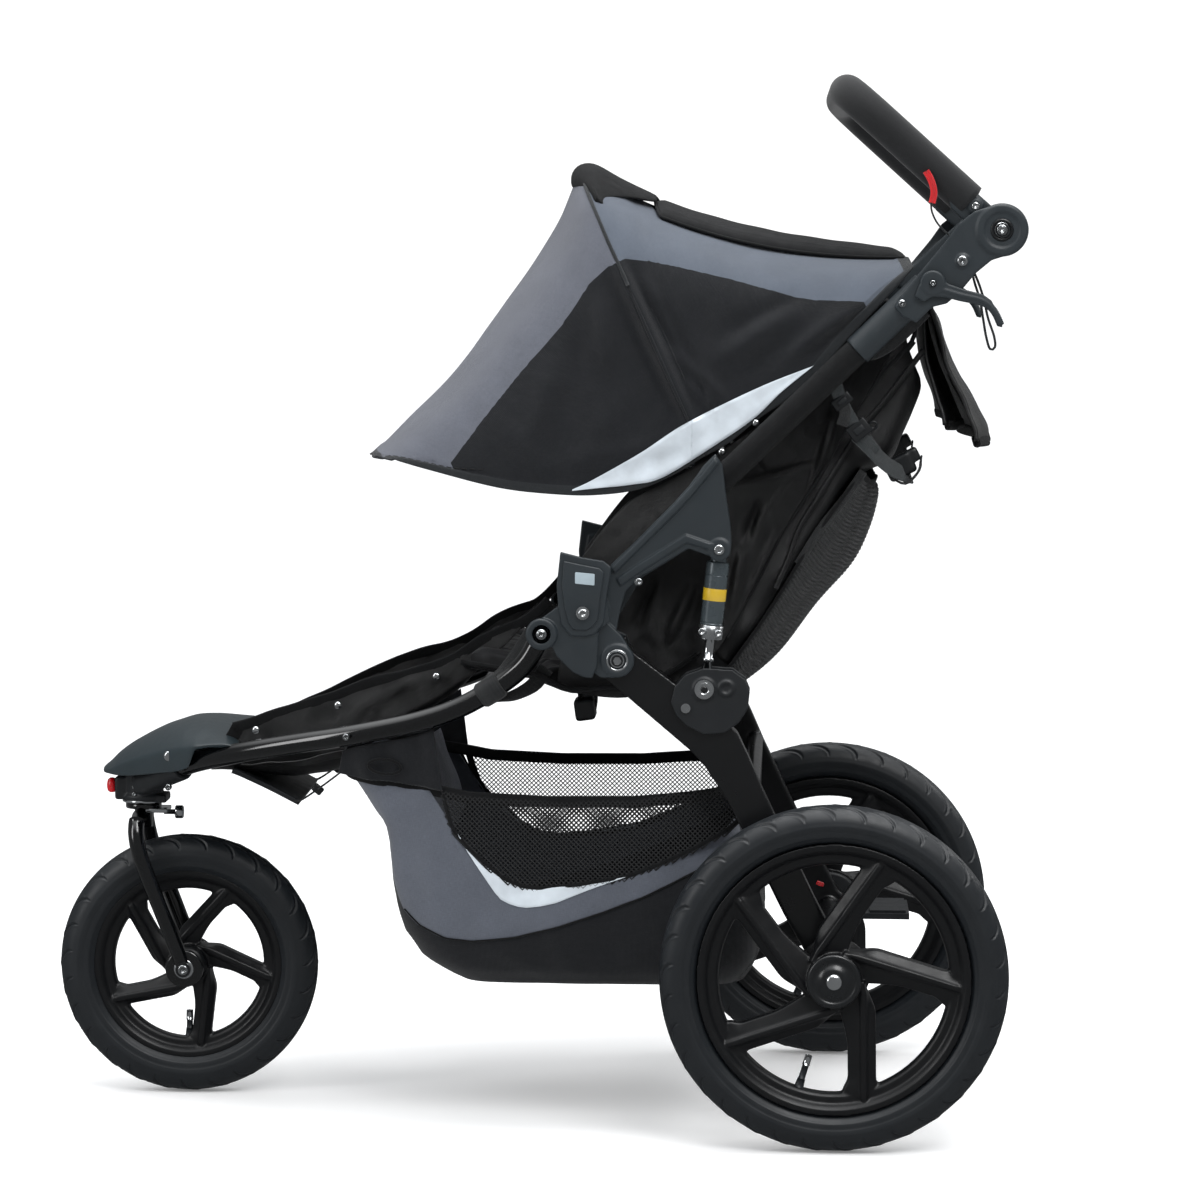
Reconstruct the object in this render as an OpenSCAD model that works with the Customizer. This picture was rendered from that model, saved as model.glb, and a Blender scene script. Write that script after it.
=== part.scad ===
// Three-wheel jogging stroller: folding tube frame, sprung rear legs, swivelling front fork,
// air tyres, turning handlebar, hooped canopy, sling seat and under-seat basket.
// Frame: +X to the front, +Y to the left, +Z up. Origin on the ground under the middle of the
// outline. The modules measure X from the rear axle, and place() shifts them to that origin.

/* [Wheels] */
// Outside diameter of the rear tyres
rear_wheel_d = 398; // [380:1:402]
// Outside diameter of the front tyre
front_wheel_d = 314; // [306:1:318]
// Distance between the middle planes of the two rear wheels
track = 574; // [570:1:580]
// Section width of the rear tyres
rear_tyre_w = 47; // [40:1:48]
// Section width of the front tyre
front_tyre_w = 50; // [44:1:54]
// Number of wheel spokes
spokes = 5; // [5, 6]

/* [Frame] */
// Distance between the middle planes of the left and right frame sides
frame_w = 450; // [450:1:452]
// Outside diameter of the two upright tubes
upright_d = 28; // [25:0.5:28]
// Outside diameter of the two front tubes
front_tube_d = 24; // [20:0.5:25]
// Wall of the tubes
wall = 2; // [1.5:0.1:2.5]
// Diameter of the fold pins
fold_pin_d = 12; // [10:1:13]

/* [Suspension] */
// Outside diameter of the shock absorber
shock_d = 26; // [22:1:27]
// Diameter of the shock absorber's rod
shock_rod_d = 11; // [9:1:12]

/* [Handlebar] */
// Outside diameter of the foam grip
grip_d = 41; // [36:1:42]
// Reach of the handlebar from its hinge
handle_l = 240; // [220:1:240]

/* [Soft goods] */
// Thickness of the canopy fabric
fabric_t = 3; // [2:0.5:3]

/* [Hidden] */
$fn = 48;

rear_r = rear_wheel_d / 2;
front_r = front_wheel_d / 2;
rear_y = track / 2;
side_y = frame_w / 2;
outline_shift = 360.5;          // from the rear axle to the middle of the outline

// places as X, Z
rear_axle = [0, rear_r];
front_axle_at = [775, front_r];
fold_hinge = [288, 610];
leg_pivot = [249, 555];
shock_top = [134, 682];
shock_bottom = [150, 522];
bracket_bolt = [171, 500];
handle_hinge = [-181, 1045];
lever_pivot = [-104, 985];
canopy_pivot = [120, 772];
upright_top = [-97, 982];
stub_at = [335, 585];           // rear end of the front tubes
brake_pin_at = [-34, rear_r];
pedal_pivot = [-30, rear_r + 12];
swivel_x = 830;
swivel_knob_z = 372;

// radii
upright_r = upright_d / 2;
plug_r = upright_r - wall;      // bore of the upright tubes
front_tube_r = front_tube_d / 2;
fold_pin_r = fold_pin_d / 2;
shock_rod_r = shock_rod_d / 2;
stub_r = 10.5;
leg_pin_r = 6;
hinge_bolt_r = 6;
lever_pin_r = 4;
shock_pin_r = 4;
bracket_bolt_r = 3;
rear_axle_r = 8;
front_axle_r = 5;
brake_pin_r = 3.5;
pedal_pin_r = 4;
canopy_pin_r = 4;
swivel_knob_r = 5;
stem_r = 11;
handle_r = 11;
head_r = 24;
head_bearing_r = 17;
rear_bearing_r = 15;
front_bearing_r = 12;
valve_r = 3.85;

gap = 0.05;                     // running clearance on the radius
seat_gap = 0.02;                // clearance round a bearing, on the radius

slate = [0.17, 0.2, 0.21];
black = [0.06, 0.06, 0.065];
rubber = [0.13, 0.14, 0.15];

// ---------- helpers ----------
// round rod along Y at an X, Z place
module rod_y(at, y_from, y_to, radius)
    translate([at[0], y_from, at[1]]) rotate([-90, 0, 0]) cylinder(h = y_to - y_from, r = radius);
// flat plate standing across Y; its outline is a list of X, Z points
module plate(outline, y_from, y_to)
    translate([0, y_to, 0]) rotate([90, 0, 0]) linear_extrude(y_to - y_from) polygon(outline);
// round rod between two points
module rod(start, end, radius) {
    run = end - start;
    translate(start) rotate([0, acos(run[2] / norm(run)), atan2(run[1], run[0])])
        cylinder(h = norm(run), r = radius);
}
// rods from point to point, with a slightly larger ball at each inner point
module rod_chain(points, radius, ball_extra = 0.35) {
    for (i = [0 : len(points) - 2]) rod(points[i], points[i + 1], radius);
    for (i = [1 : len(points) - 2]) translate(points[i]) sphere(r = radius + ball_extra);
}
module right() mirror([0, 1, 0]) children();
module both() {
    children();
    right() children();
}
function at_y(place, y) = [place[0], y, place[1]];
function direction(angle) = [cos(angle), sin(angle)];
// a half path followed by its mirror image in reverse order
function both_halves(half) =
    concat(half, [for (i = [len(half) - 1 : -1 : 0]) [half[i][0], -half[i][1], half[i][2]]]);

// point on the left upright's axis, at a distance from the fold hinge
upright_dir = direction(135.99);
function on_upright(distance) = at_y(fold_hinge + distance * upright_dir, side_y);

// ---------- frame ----------
// middle line of the left front tube as X, Y, Z, from the rear end to the head
front_path = [
    [335, side_y, 585], [362, side_y - 3, 541], [420, side_y - 7, 501], [478, side_y - 15, 478],
    [559, side_y - 30, 459], [625, side_y - 53, 446], [697, side_y - 85, 430],
    [762, side_y - 132, 410], [812, 42, 384], [828, 24, 378]];
function path_part(first, last) = [for (i = [first : last]) front_path[i]];

module front_frame() color(black) difference() {
    union() {
        both() {
            rod_chain(front_path, front_tube_r);
            rod(at_y(stub_at, 189), at_y(stub_at, 262), stub_r);
        }
        rod([404, -side_y + 8, 511], [404, side_y - 8, 511], 9);
        rod([770, -side_y + 132, 408], [770, side_y - 132, 408], 8);
    }
    // clears the head housing, where the two tubes end
    translate([swivel_x, 0, 300]) cylinder(h = 140, r = head_r + gap);
}

module head_housing() color(slate) difference() {
    union() {
        translate([swivel_x, 0, 353]) cylinder(h = 44, r = head_r);
        translate([846, -17, 356]) cube([16, 34, 28]);
        translate([800, -20, 353]) cube([14, 40, 10]);
    }
    translate([swivel_x, 0, 340]) cylinder(h = 80, r = 12.5);
    for (z = [352, 391]) translate([swivel_x, 0, z]) cylinder(h = 7, r = head_bearing_r + seat_gap);
    translate([840, 0, swivel_knob_z]) rotate([0, 90, 0]) cylinder(h = 30, r = swivel_knob_r + gap);
    both() rod_chain(path_part(7, 9), front_tube_r + gap, 0.6);
}

module head_bearings() color("silver") for (z = [352.5, 391.2]) difference() {
    translate([swivel_x, 0, z]) cylinder(h = 6, r = head_bearing_r);
    translate([swivel_x, 0, z - 1]) cylinder(h = 8, r = stem_r + gap);
}

// balls whose hull is the nose cover: X, Y, Z, radius
nose_balls = [[858, 24, 391, 12], [832, 52, 398, 12], [772, 66, 441, 13], [712, 142, 437, 9],
    [748, 118, 403, 6]];
module nose(grow, lift) hull() both() for (ball = nose_balls)
    translate([ball[0], ball[1], ball[2] + lift]) sphere(r = ball[3] + grow, $fn = 20);

// hollow nose cover, open below
module fender() color(slate) difference() {
    nose(0, 0);
    nose(-3.5, 0);
    nose(-3.5, -14);
    translate([600, -300, 300]) cube([400, 600, 86]);
    both() rod_chain(path_part(5, 8), front_tube_r + 0.8, 1.2);
}

// plates at the fold hinge: X, Z outlines
hub_base = [[314, 678], [290, 673], [257, 664], [262, 629], [266, 596], [275, 586], [320, 572],
    [346, 572], [350, 590], [335, 600], [314, 612], [318, 640]];
hub_lower = [[321, 620], [328, 590], [326, 579], [318, 561], [292, 540], [276, 535], [272, 560],
    [270, 590], [290, 620]];
hub_raised = [[309, 669], [290, 666], [264, 658], [268, 629], [271, 600], [279, 592], [299, 591],
    [305, 606], [311, 640]];
hub_inner = [[300, 636], [276, 636], [266, 610], [276, 590], [325, 571], [346, 572], [350, 588],
    [318, 610]];
hub_slot = [[276, 642], [296, 644], [296, 656], [276, 654]];
module hub_plates() color(slate) both() difference() {
    union() {
        plate(hub_base, 256, 261);
        plate(hub_lower, 256, 258);
        plate(hub_raised, 261, 264);
        plate(hub_inner, 190, 197);
    }
    rod_y(fold_hinge, 180, 280, fold_pin_r + gap);
    rod_y(stub_at, 180, 280, stub_r + gap);
    plate(hub_slot, 262, 266);
}

// insert in the slot of the outer hub plate
mount_outline = [[276.2, 642.2], [295.8, 644.2], [295.8, 655.8], [276.2, 653.8]];
module accessory_mounts() color([0.62, 0.67, 0.7]) both() plate(mount_outline, 262.05, 264);

module fold_pins() color("silver") both() {
    rod_y(fold_hinge, 187, 266, fold_pin_r);
    rod_y(fold_hinge, 264.05, 268, 7.5);
    // keeper disc that the latch plunger drops against
    rod_y(fold_hinge, 219, 231, 16);
}

module frame_bolts() color("silver") both() {
    tube_face = side_y - 31 + front_tube_r;
    rod([563, tube_face + 2.6, 459], [563, tube_face + 6, 459], 4.5);
    rod(at_y(stub_at, 262.1), at_y(stub_at, 265), 5);
    rod([785, 100, 384], [785, 104, 384], 4);
}

// ---------- seat base, footwell and basket: X, Z outlines ----------
seat_base_outline = [[425, 545], [360, 534], [290, 527], [215, 533], [154, 552], [151, 540],
    [215, 510], [290, 502], [350, 508], [392, 524], [426, 526]];
module seat_base() color(black) plate(seat_base_outline, -180, 180);

footwell_outline = [[737, 401], [700, 380], [640, 357], [604, 361], [586, 390], [560, 428],
    [520, 452], [470, 484], [438, 508], [436, 504], [468, 480], [518, 448], [557, 425], [583, 388],
    [601, 358], [640, 354], [701, 377], [738, 398]];
module footwell() color(black) plate(footwell_outline, -112, 112);

module foot_rest() color(slate) difference() {
    translate([604, -98, 345]) cube([84, 196, 7]);
    for (y = [-72 : 24 : 72]) translate([616, y - 7, 344]) cube([60, 14, 9]);
}

basket_outer = [[553, 412], [519, 352], [500, 240], [470, 192], [433, 171], [96, 168], [78, 230],
    [96, 330], [118, 399], [300, 396], [437, 404]];
basket_inner = [[549, 460], [547, 410], [516, 351], [497, 241], [468, 195], [431, 174], [98, 171],
    [81, 230], [99, 330], [121, 399], [121, 460]];
module basket() color([0.36, 0.37, 0.4]) difference() {
    plate(basket_outer, -198, 198);
    plate(basket_inner, -195, 195);
}

// ---------- uprights and top castings ----------
module upright_tubes() color(black) both() difference() {
    rod(on_upright(30), at_y(upright_top, side_y), upright_r);
    rod(on_upright(20), at_y(upright_top + 5 * upright_dir, side_y), plug_r);
}

// two hinge cheeks and a plug that fills the tube's lower end
module upright_feet() color(slate) both() difference() {
    union() {
        rod_y(fold_hinge, 211, 218, 20);
        rod_y(fold_hinge, 232, 239, 20);
        rod(on_upright(14), on_upright(70), plug_r - gap);
    }
    rod_y(fold_hinge, 200, 260, fold_pin_r + gap);
    rod_y(fold_hinge, 218, 232, 17.5);
    rod(on_upright(10), on_upright(90), 4.6);
}

// X, Z outlines of the outer and inner plates and the web that joins them
top_outer = [[-80, 948], [-64, 962], [-90, 1000], [-118, 1032], [-160, 1062], [-196, 1062],
    [-206, 1036], [-190, 1022], [-168, 1016], [-150, 998], [-120, 978]];
top_inner = [[-88, 966], [-78, 976], [-96, 1000], [-122, 1026], [-160, 1062], [-196, 1062],
    [-206, 1036], [-190, 1022], [-168, 1016], [-130, 990], [-112, 974]];
top_web = [[-98.5, 985], [-91, 996], [-124, 1026], [-146, 1036], [-158, 1024], [-142, 1000],
    [-116, 978], [-103, 977]];
module top_castings() color(slate) both() difference() {
    union() {
        plate(top_outer, 240, 246);
        plate(top_inner, 205.5, 211);
        plate(top_web, 210.5, 240.5);
        rod_y(handle_hinge, 246, 249, 30);
        rod_y(handle_hinge, 205.5, 211, 27);
        rod_y(handle_hinge, 240, 246, 27);
    }
    rod_y(handle_hinge, 200, 260, hinge_bolt_r + gap);
    rod_y(lever_pivot, 239, 260, lever_pin_r + gap);
}

module casting_bolts() color("silver") both() {
    rod_y(handle_hinge, 204, 251, hinge_bolt_r);
    rod_y(handle_hinge, 249.1, 252, 8);
    rod_y(lever_pivot, 241, 256.5, lever_pin_r);
    rod_y([-137, 1010], 246.1, 249, 5);
    rod_y([-70, 962], 246.1, 248.6, 3.5);
}

// ---------- canopy ----------
module canopy_mounts() color(slate) both() {
    rod_y(canopy_pivot, 200, 210.9, 11);
    rod_y(canopy_pivot, 184, 201, canopy_pin_r);
}

// half arch as points across and out from the pivot
function arch(reach, half_w) = [for (i = [0 : 7]) let (angle = 90 * i / 7)
    [half_w * pow(sin(angle), 0.62), reach * (0.56 + 0.44 * pow(cos(angle), 0.9))]];
// thin arch-shaped sheet through the pivot line, raised by an angle from +X; used inside hulls
module arch_sheet(reach, half_w, angle, thick = 1) {
    half = arch(reach, half_w);
    translate([canopy_pivot[0], 0, canopy_pivot[1]]) rotate([0, 90 - angle, 0])
        rotate([90, 0, 90]) linear_extrude(thick)
            polygon(concat([[half_w, -40]], half, [for (p = half) [-p[0], p[1]]],
                [[-half_w, -40]]));
}
module canopy_shape(inset) {
    half_w = 213 - inset;
    hull() {
        arch_sheet(427 - inset, half_w, 0.5, 0.5);
        arch_sheet(391 - inset, half_w, 62.5);
    }
    hull() {
        arch_sheet(391 - inset, half_w, 62.5);
        arch_sheet(325 - inset, half_w, 129);
    }
}
// X, Z outline that trims the canopy; its first points are the lower edge
canopy_trim = [[547, 772], [444, 757], [386, 746], [318, 741], [272, 742], [203, 761], [158, 793],
    [90, 834], [45, 874], [11, 908], [-80, 996], [-90, 1025], [300, 1150], [600, 900]];
module canopy() color([0.36, 0.37, 0.42]) intersection() {
    difference() {
        canopy_shape(0);
        canopy_shape(fabric_t);
    }
    plate(canopy_trim, -230, 230);
}

// ---------- seat back: X, Z outlines ----------
seat_back_outline = [[166, 566], [120, 642], [62, 742], [10, 832], [-48, 922], [-86, 972],
    [-106, 957], [-70, 908], [-12, 818], [38, 730], [96, 630], [140, 552]];
module seat_back() color(black) {
    rod_y([150, 556], -176, 176, 4.5);
    plate(seat_back_outline, -176, 176);
}

pocket_outline = [[136, 552], [93, 629], [34, 729], [2, 784], [-46, 770], [-38, 715], [0, 640],
    [62, 570], [106, 540]];
module back_pocket() color([0.12, 0.12, 0.13]) plate(pocket_outline, -160, 160);

strap_outline = [[126, 640], [65, 745], [13, 835], [-30, 902], [-27, 904], [16, 837], [68, 747],
    [129, 642]];
module harness() color([0.1, 0.1, 0.1]) both() plate(strap_outline, 38, 78);

// ---------- rear carrier: X, Z outlines ----------
arm_outer = [[258, 640], [257, 662], [187, 732], [169, 752], [138, 790], [131, 776], [125, 731],
    [122, 715], [121, 676], [135, 670], [169, 680], [224, 645], [241, 628], [250, 600]];
arm_inner = [[258, 640], [250, 662], [160, 705], [130, 700], [122, 690], [122, 672], [135, 668],
    [169, 680], [224, 645], [250, 600]];
arm_rib = [[262, 648], [258, 660], [150, 766], [144, 758], [236, 650]];
leg_lobe = [[262, 590], [240, 580], [233, 558], [240, 545], [252, 537], [268, 538], [283, 554],
    [287, 572], [300, 590], [300, 612], [280, 620]];
module rear_castings() color(slate) both() difference() {
    union() {
        plate(arm_outer, 244, 249);
        plate(arm_rib, 249, 253);
        plate(leg_lobe, 244, 252);
        rod_y(fold_hinge, 244, 252, 30);
        rod_y(leg_pivot, 244, 253, 19);
        plate(arm_inner, 201, 206);
        plate(leg_lobe, 201, 206);
        rod_y(fold_hinge, 201, 206, 30);
        rod_y(leg_pivot, 201, 206, 19);
    }
    rod_y(fold_hinge, 195, 260, fold_pin_r + gap);
    rod_y(leg_pivot, 195, 260, leg_pin_r + gap);
    rod_y(shock_top, 195, 260, shock_pin_r + gap);
}

module carrier_pins() color("silver") both() {
    rod_y(leg_pivot, 200, 254, leg_pin_r);
    rod_y(leg_pivot, 253.1, 256, 8);
    rod_y(shock_top, 198, 252, shock_pin_r);
    rod_y(shock_top, 249.1, 252.5, 6);
    rod_y([226, 645], 249.1, 252, 4);
}

// ---------- shock absorbers ----------
shock_line = shock_bottom - shock_top;
shock_len = norm(shock_line);
// point on the left shock absorber's axis, at a distance from its top pivot
function on_shock(distance) = at_y(shock_top + distance * shock_line / shock_len, side_y);

module shock_bodies() color([0.72, 0.74, 0.77]) both() difference() {
    union() {
        rod_y(shock_top, 215, 235, 12);
        rod(on_shock(8), on_shock(16), 9);
        rod(on_shock(14), on_shock(88), shock_d / 2);
    }
    rod_y(shock_top, 210, 240, shock_pin_r + gap);
    rod(on_shock(34), on_shock(120), shock_rod_r + gap);
}

module shock_collars() color("silver") both() difference() {
    union() {
        rod(on_shock(88.05), on_shock(104), shock_d / 2 + 1);
        // two small pegs pointing outwards
        for (x = [-9, 9]) translate(on_shock(96)) rotate([-90, 0, 0]) translate([x, 0, 10])
            cylinder(h = 6, r = 3);
    }
    rod(on_shock(80), on_shock(120), shock_rod_r + gap);
}

module shock_rods() color([0.8, 0.81, 0.83]) both() difference() {
    union() {
        rod(on_shock(56), on_shock(shock_len - 6), shock_rod_r);
        rod_y(shock_bottom, 219.5, 230.5, 9.5);
    }
    rod_y(shock_bottom, 210, 240, 4.6);
}

// ---------- swing arm and brake: X, Z outlines ----------
leg_outline = [[240, 580], [131, 490], [104, 468], [83, 408], [22, 282], [-19, 206], [19, 192],
    [58, 264], [122, 392], [160, 447], [264, 533]];
shock_window = [[180, 560], [168, 503], [116, 459], [90, 500], [120, 560]];
cheek_recess = [[178, 540], [160, 512], [120, 479], [96, 500], [120, 560]];
pedal_lug = [[-37, rear_r + 18], [-37, rear_r + 6], [0, rear_r - 9], [8, rear_r + 6]];
module rear_legs() color(black) difference() {
    union() {
        both() {
            plate(leg_outline, 213, 237);
            rod_y(rear_axle, 213, 237, 24);
            rod_y(leg_pivot, 213, 237, 20);
        }
        rod([0, -214, rear_r], [0, 214, rear_r], 12);
        rod([93, -214, 409], [93, 214, 409], 9);
        // lugs and pin of the brake pedal
        for (y = [-177, -61]) plate(pedal_lug, y, y + 6);
        rod_y(pedal_pivot, -177, -55, pedal_pin_r);
    }
    both() {
        rod_y(leg_pivot, 200, 250, leg_pin_r + gap);
        rod_y(rear_axle, 195, 250, rear_axle_r + gap);
        rod_y(bracket_bolt, 200, 245, bracket_bolt_r + gap);
        // window for the shock absorber's lower eye and bracket
        plate(shock_window, 217.9, 232.1);
        for (y = [212, 232]) plate(cheek_recess, y, y + 6);
    }
}

module rear_axles() color("silver") both() rod_y(rear_axle, 202, rear_y + 27, rear_axle_r);

bracket_outline = [[176, 486], [184, 500], [178, 520], [162, 538], [116, 540], [98, 526],
    [100, 500], [118, 476], [148, 470]];
bracket_boss = [125, 523];
module shock_brackets() color(black) both() difference() {
    union() {
        for (y = [208, 237.1]) plate(bracket_outline, y, y + 4.9);
        rod_y(shock_bottom, 212, 219, 9);
        rod_y(shock_bottom, 231, 237.5, 9);
        rod_y(bracket_boss, 237.5, 243, 7);
    }
    rod_y(shock_bottom, 200, 245, shock_pin_r + gap);
    rod_y(bracket_boss, 230, 245, 4);
    rod_y(bracket_bolt, 200, 245, bracket_bolt_r + gap);
}

module shock_pins() color("silver") both() {
    rod_y(bracket_bolt, 206, 245, bracket_bolt_r);
    rod_y(bracket_bolt, 242.1, 245, 5.5);
    rod_y(shock_bottom, 206, 243, shock_pin_r);
    rod_y(shock_bottom, 242.1, 247, 11);
    rod_y(shock_bottom, 205, 207.9, 7);
}

brake_arm = [[-46, rear_r - 9], [-46, rear_r + 9], [0, rear_r + 12], [0, rear_r - 12]];
module brake_housings() color(slate) both() difference() {
    union() {
        rod_y(rear_axle, 237.2, 246, 40);
        plate(brake_arm, 237.2, 246);
    }
    rod_y(rear_axle, 230, 250, rear_axle_r + gap);
    rod_y(brake_pin_at, 230, 250, brake_pin_r + gap);
}

module brake_pin_left() color("silver") {
    rod_y(brake_pin_at, 228, 249.5, brake_pin_r);
    rod_y(brake_pin_at, 226, 229, 6);
}
module brake_pin_right() right() brake_pin_left();

module brake_pedal() color([0.7, 0.08, 0.08]) difference() {
    union() {
        for (y = [-164, -74]) rod_y(pedal_pivot, y, y + 8, 10);
        translate([-96, -170, rear_r + 10]) cube([62, 108, 7]);
        translate([-92, -164, rear_r + 16]) cube([44, 96, 4]);
    }
    rod_y(pedal_pivot, -180, -50, pedal_pin_r + gap);
}

// ---------- wheel parts, with the axle along Y through the origin ----------
hub = [0, 0];
// rim, spokes set off to one side of the axle, and hub
module cast_wheel(rim_outer, rim_inner, half_w, spoke_offset, hub_r, hub_half_w, bore_r, spoke_half) {
    lip = half_w * 0.62;
    ridge = half_w * 0.72;
    rim_section = [[rim_inner, -lip], [rim_outer - 5, -half_w], [rim_outer, -half_w],
        [rim_outer, half_w], [rim_outer - 5, half_w], [rim_inner, lip]];
    spoke_section = [[-spoke_half, -4], [-spoke_half, 4], [-3, ridge], [3, ridge],
        [spoke_half, 4], [spoke_half, -4], [3, -ridge], [-3, -ridge]];
    difference() {
        union() {
            rotate([-90, 0, 0]) rotate_extrude() polygon(rim_section);
            rod_y(hub, -hub_half_w, hub_half_w, hub_r);
            for (k = [0 : spokes - 1]) rotate([0, k * 360 / spokes, 0]) intersection() {
                translate([-spoke_offset, 0, 14]) rotate([180, 0, 0])
                    linear_extrude(rim_inner + 12) polygon(spoke_section);
                rod_y(hub, -half_w, half_w, rim_inner + 1.5);
            }
        }
        rod_y(hub, -60, 60, bore_r);
    }
}
module tyre(outer_r, width, rim_outer) rotate([-90, 0, 0]) difference() {
    rotate_extrude() difference() {
        translate([outer_r - width / 2, 0]) circle(r = width / 2);
        translate([0, -width]) square([rim_outer + gap, 2 * width]);
    }
    // pair of shallow grooves in the tread
    for (side = [-1, 1]) translate([0, 0, side * width * 0.16])
        rotate_extrude() translate([outer_r, 0]) circle(r = 1.6);
}
// valve below the hub, with a collar inside the rim
module valve(rim_outer, length, rim_inner) mirror([0, 0, 1]) {
    translate([0, 0, rim_outer - 0.5 - length]) cylinder(h = length - 0.05, r = valve_r);
    translate([0, 0, rim_inner - 4]) cylinder(h = 2.4, r = 6);
}
module valve_hole(rim_outer)
    translate([0, 0, -rim_outer - 1]) cylinder(h = 27, r = valve_r + 0.1);
module bearing_pair(inner_r, outer_r, y_starts, width) for (y = y_starts) difference() {
    rod_y(hub, y, y + width, outer_r);
    rod_y(hub, y - 1, y + width + 1, inner_r);
}

// ---------- rear wheels: local +Y points outwards on both sides ----------
rear_rim_inner = rear_r - 68;
rear_rim_outer = rear_r - 46;
valve_turn = [0, -17, 0];
module at_left() translate([0, rear_y, rear_r]) children();
module at_right() translate([0, -rear_y, rear_r]) rotate([0, 0, 180]) children();

module rear_wheel() difference() {
    union() {
        cast_wheel(rear_rim_outer, rear_rim_inner, half_w = 17, spoke_offset = 37, hub_r = 30,
            hub_half_w = 24, bore_r = rear_bearing_r + seat_gap, spoke_half = 17);
        // brake flange on the inner side
        rod_y(hub, -35, -30.5, 42);
        rod_y(hub, -35, -20, 22);
    }
    rod_y(hub, -60, 60, rear_bearing_r + seat_gap);
    // ring of holes at the brake pin's distance from the axle
    for (k = [0 : 11]) rotate([0, k * 30, 0]) rod_y([brake_pin_at[0], 0], -50, -29, 4.6);
    rotate(valve_turn) valve_hole(rear_rim_outer);
}
module rear_tyre() tyre(rear_r, rear_tyre_w, rear_rim_outer);
module rear_bearings() bearing_pair(rear_axle_r + gap, rear_bearing_r, [-33, 15], 9);
module hub_cap() difference() {
    union() {
        rod_y(hub, 24.1, 30, 21);
        rod_y(hub, 29.5, 33, 12);
    }
    rod_y(hub, 23, 28, 17);
}
module rear_valve() rotate(valve_turn) valve(rear_rim_outer, 40, rear_rim_inner);

module rear_wheel_left() color(black) at_left() rear_wheel();
module rear_wheel_right() color(black) at_right() rear_wheel();
module rear_tyre_left() color(rubber) at_left() rear_tyre();
module rear_tyre_right() color(rubber) at_right() rear_tyre();
module rear_bearings_left() color("silver") at_left() rear_bearings();
module rear_bearings_right() color("silver") at_right() rear_bearings();
module hub_cap_left() color("silver") at_left() hub_cap();
module hub_cap_right() color("silver") at_right() hub_cap();
module rear_valve_left() color(black) at_left() rear_valve();
module rear_valve_right() color(black) at_right() rear_valve();

// ---------- front wheel ----------
front_rim_outer = front_r - 45;
front_rim_inner = front_r - 66;
module at_front() translate(at_y(front_axle_at, 0)) children();

module front_wheel() color(black) at_front() difference() {
    cast_wheel(front_rim_outer, front_rim_inner, half_w = 16, spoke_offset = 26, hub_r = 22,
        hub_half_w = 26, bore_r = front_bearing_r + seat_gap, spoke_half = 13);
    valve_hole(front_rim_outer);
}
module front_tyre() color(rubber) at_front() tyre(front_r, front_tyre_w, front_rim_outer);
module front_bearings() color("silver") at_front()
    bearing_pair(front_axle_r + gap, front_bearing_r, [-26, 18], 8);
module front_valve() color(black) at_front() valve(front_rim_outer, 34, front_rim_inner);

// ---------- fork ----------
// middle line of the left blade as X, Y, Z, from the crown down
blade_path = [[833, 43, 331], [829, 49, 300], [818, 50, 268], [800, 48, 222],
    [front_axle_at[0] + 6, 45, front_axle_at[1] + 15.5]];
module fork() color(black) difference() {
    union() {
        translate([swivel_x, 0, 322]) cylinder(h = 76, r = stem_r);
        translate([swivel_x, 0, 345]) cylinder(h = 6.5, r = 21);
        rod([833, -44, 331], [833, 44, 331], 12);
        both() {
            rod_chain(blade_path, 9.5);
            rod_y(front_axle_at, 38, 52, 21);
        }
        translate([806, -18, 338]) cube([20, 36, 7.5]);
    }
    rod_y(front_axle_at, -60, 60, front_axle_r + gap);
    translate([812, 0, 330]) cylinder(h = 30, r = 3.5);
}

// axle with its end nuts and the spacers beside the hub
module front_axle() color("silver") {
    rod_y(front_axle_at, -58, 58, front_axle_r);
    both() {
        rod_y(front_axle_at, 52.1, 58, 9);
        rod_y(front_axle_at, 26.6, 37.5, 7);
    }
}

module swivel_knob() color([0.75, 0.07, 0.07]) {
    translate([850, 0, swivel_knob_z]) rotate([0, 90, 0]) cylinder(h = 16, r = swivel_knob_r);
    translate([863, 0, swivel_knob_z]) rotate([0, 90, 0]) cylinder(h = 11, r = 8.5);
}

// knob with six flutes, on a thin stem
module tracking_knob() color("silver") difference() {
    union() {
        translate([782, 0, 340]) rotate([0, 90, 0]) cylinder(h = 10, r = 8);
        translate([790, 0, 340]) rotate([0, 90, 0]) cylinder(h = 15.9, r = 3);
    }
    for (k = [0 : 5]) translate([781, 0, 340]) rotate([k * 60, 0, 0]) translate([0, 9, 0])
        rotate([0, 90, 0]) cylinder(h = 12, r = 2);
}

// ---------- handlebar ----------
handle_dir = direction(41.8);
// point in the handlebar's plane, at a distance from its hinge
function on_handle(distance, y) = at_y(handle_hinge + distance * handle_dir, y);
grip_path = both_halves([on_handle(62, side_y), on_handle(handle_l - 52, side_y),
    on_handle(handle_l - 22, side_y - 12), on_handle(handle_l - 5, side_y - 34),
    on_handle(handle_l, side_y - 62)]);
// the grip's path with both ends moved down to a distance from the hinge
function handle_path(distance) =
    concat([on_handle(distance, side_y)], grip_path, [on_handle(distance, -side_y)]);

module handlebar_tube() color(slate) difference() {
    union() {
        rod_chain(handle_path(18), handle_r);
        both() {
            rod_y(handle_hinge, 212, 238, 24);
            rod(on_handle(10, side_y), on_handle(60, side_y), 13);
            rod_y(handle_hinge + 50 * handle_dir, 236, 242, 5);
        }
    }
    both() rod_y(handle_hinge, 200, 250, hinge_bolt_r + gap);
}
module foam_grip() color([0.11, 0.12, 0.13]) difference() {
    rod_chain(grip_path, grip_d / 2, 0.3);
    rod_chain(handle_path(50), handle_r + gap, 0.5);
}

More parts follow.
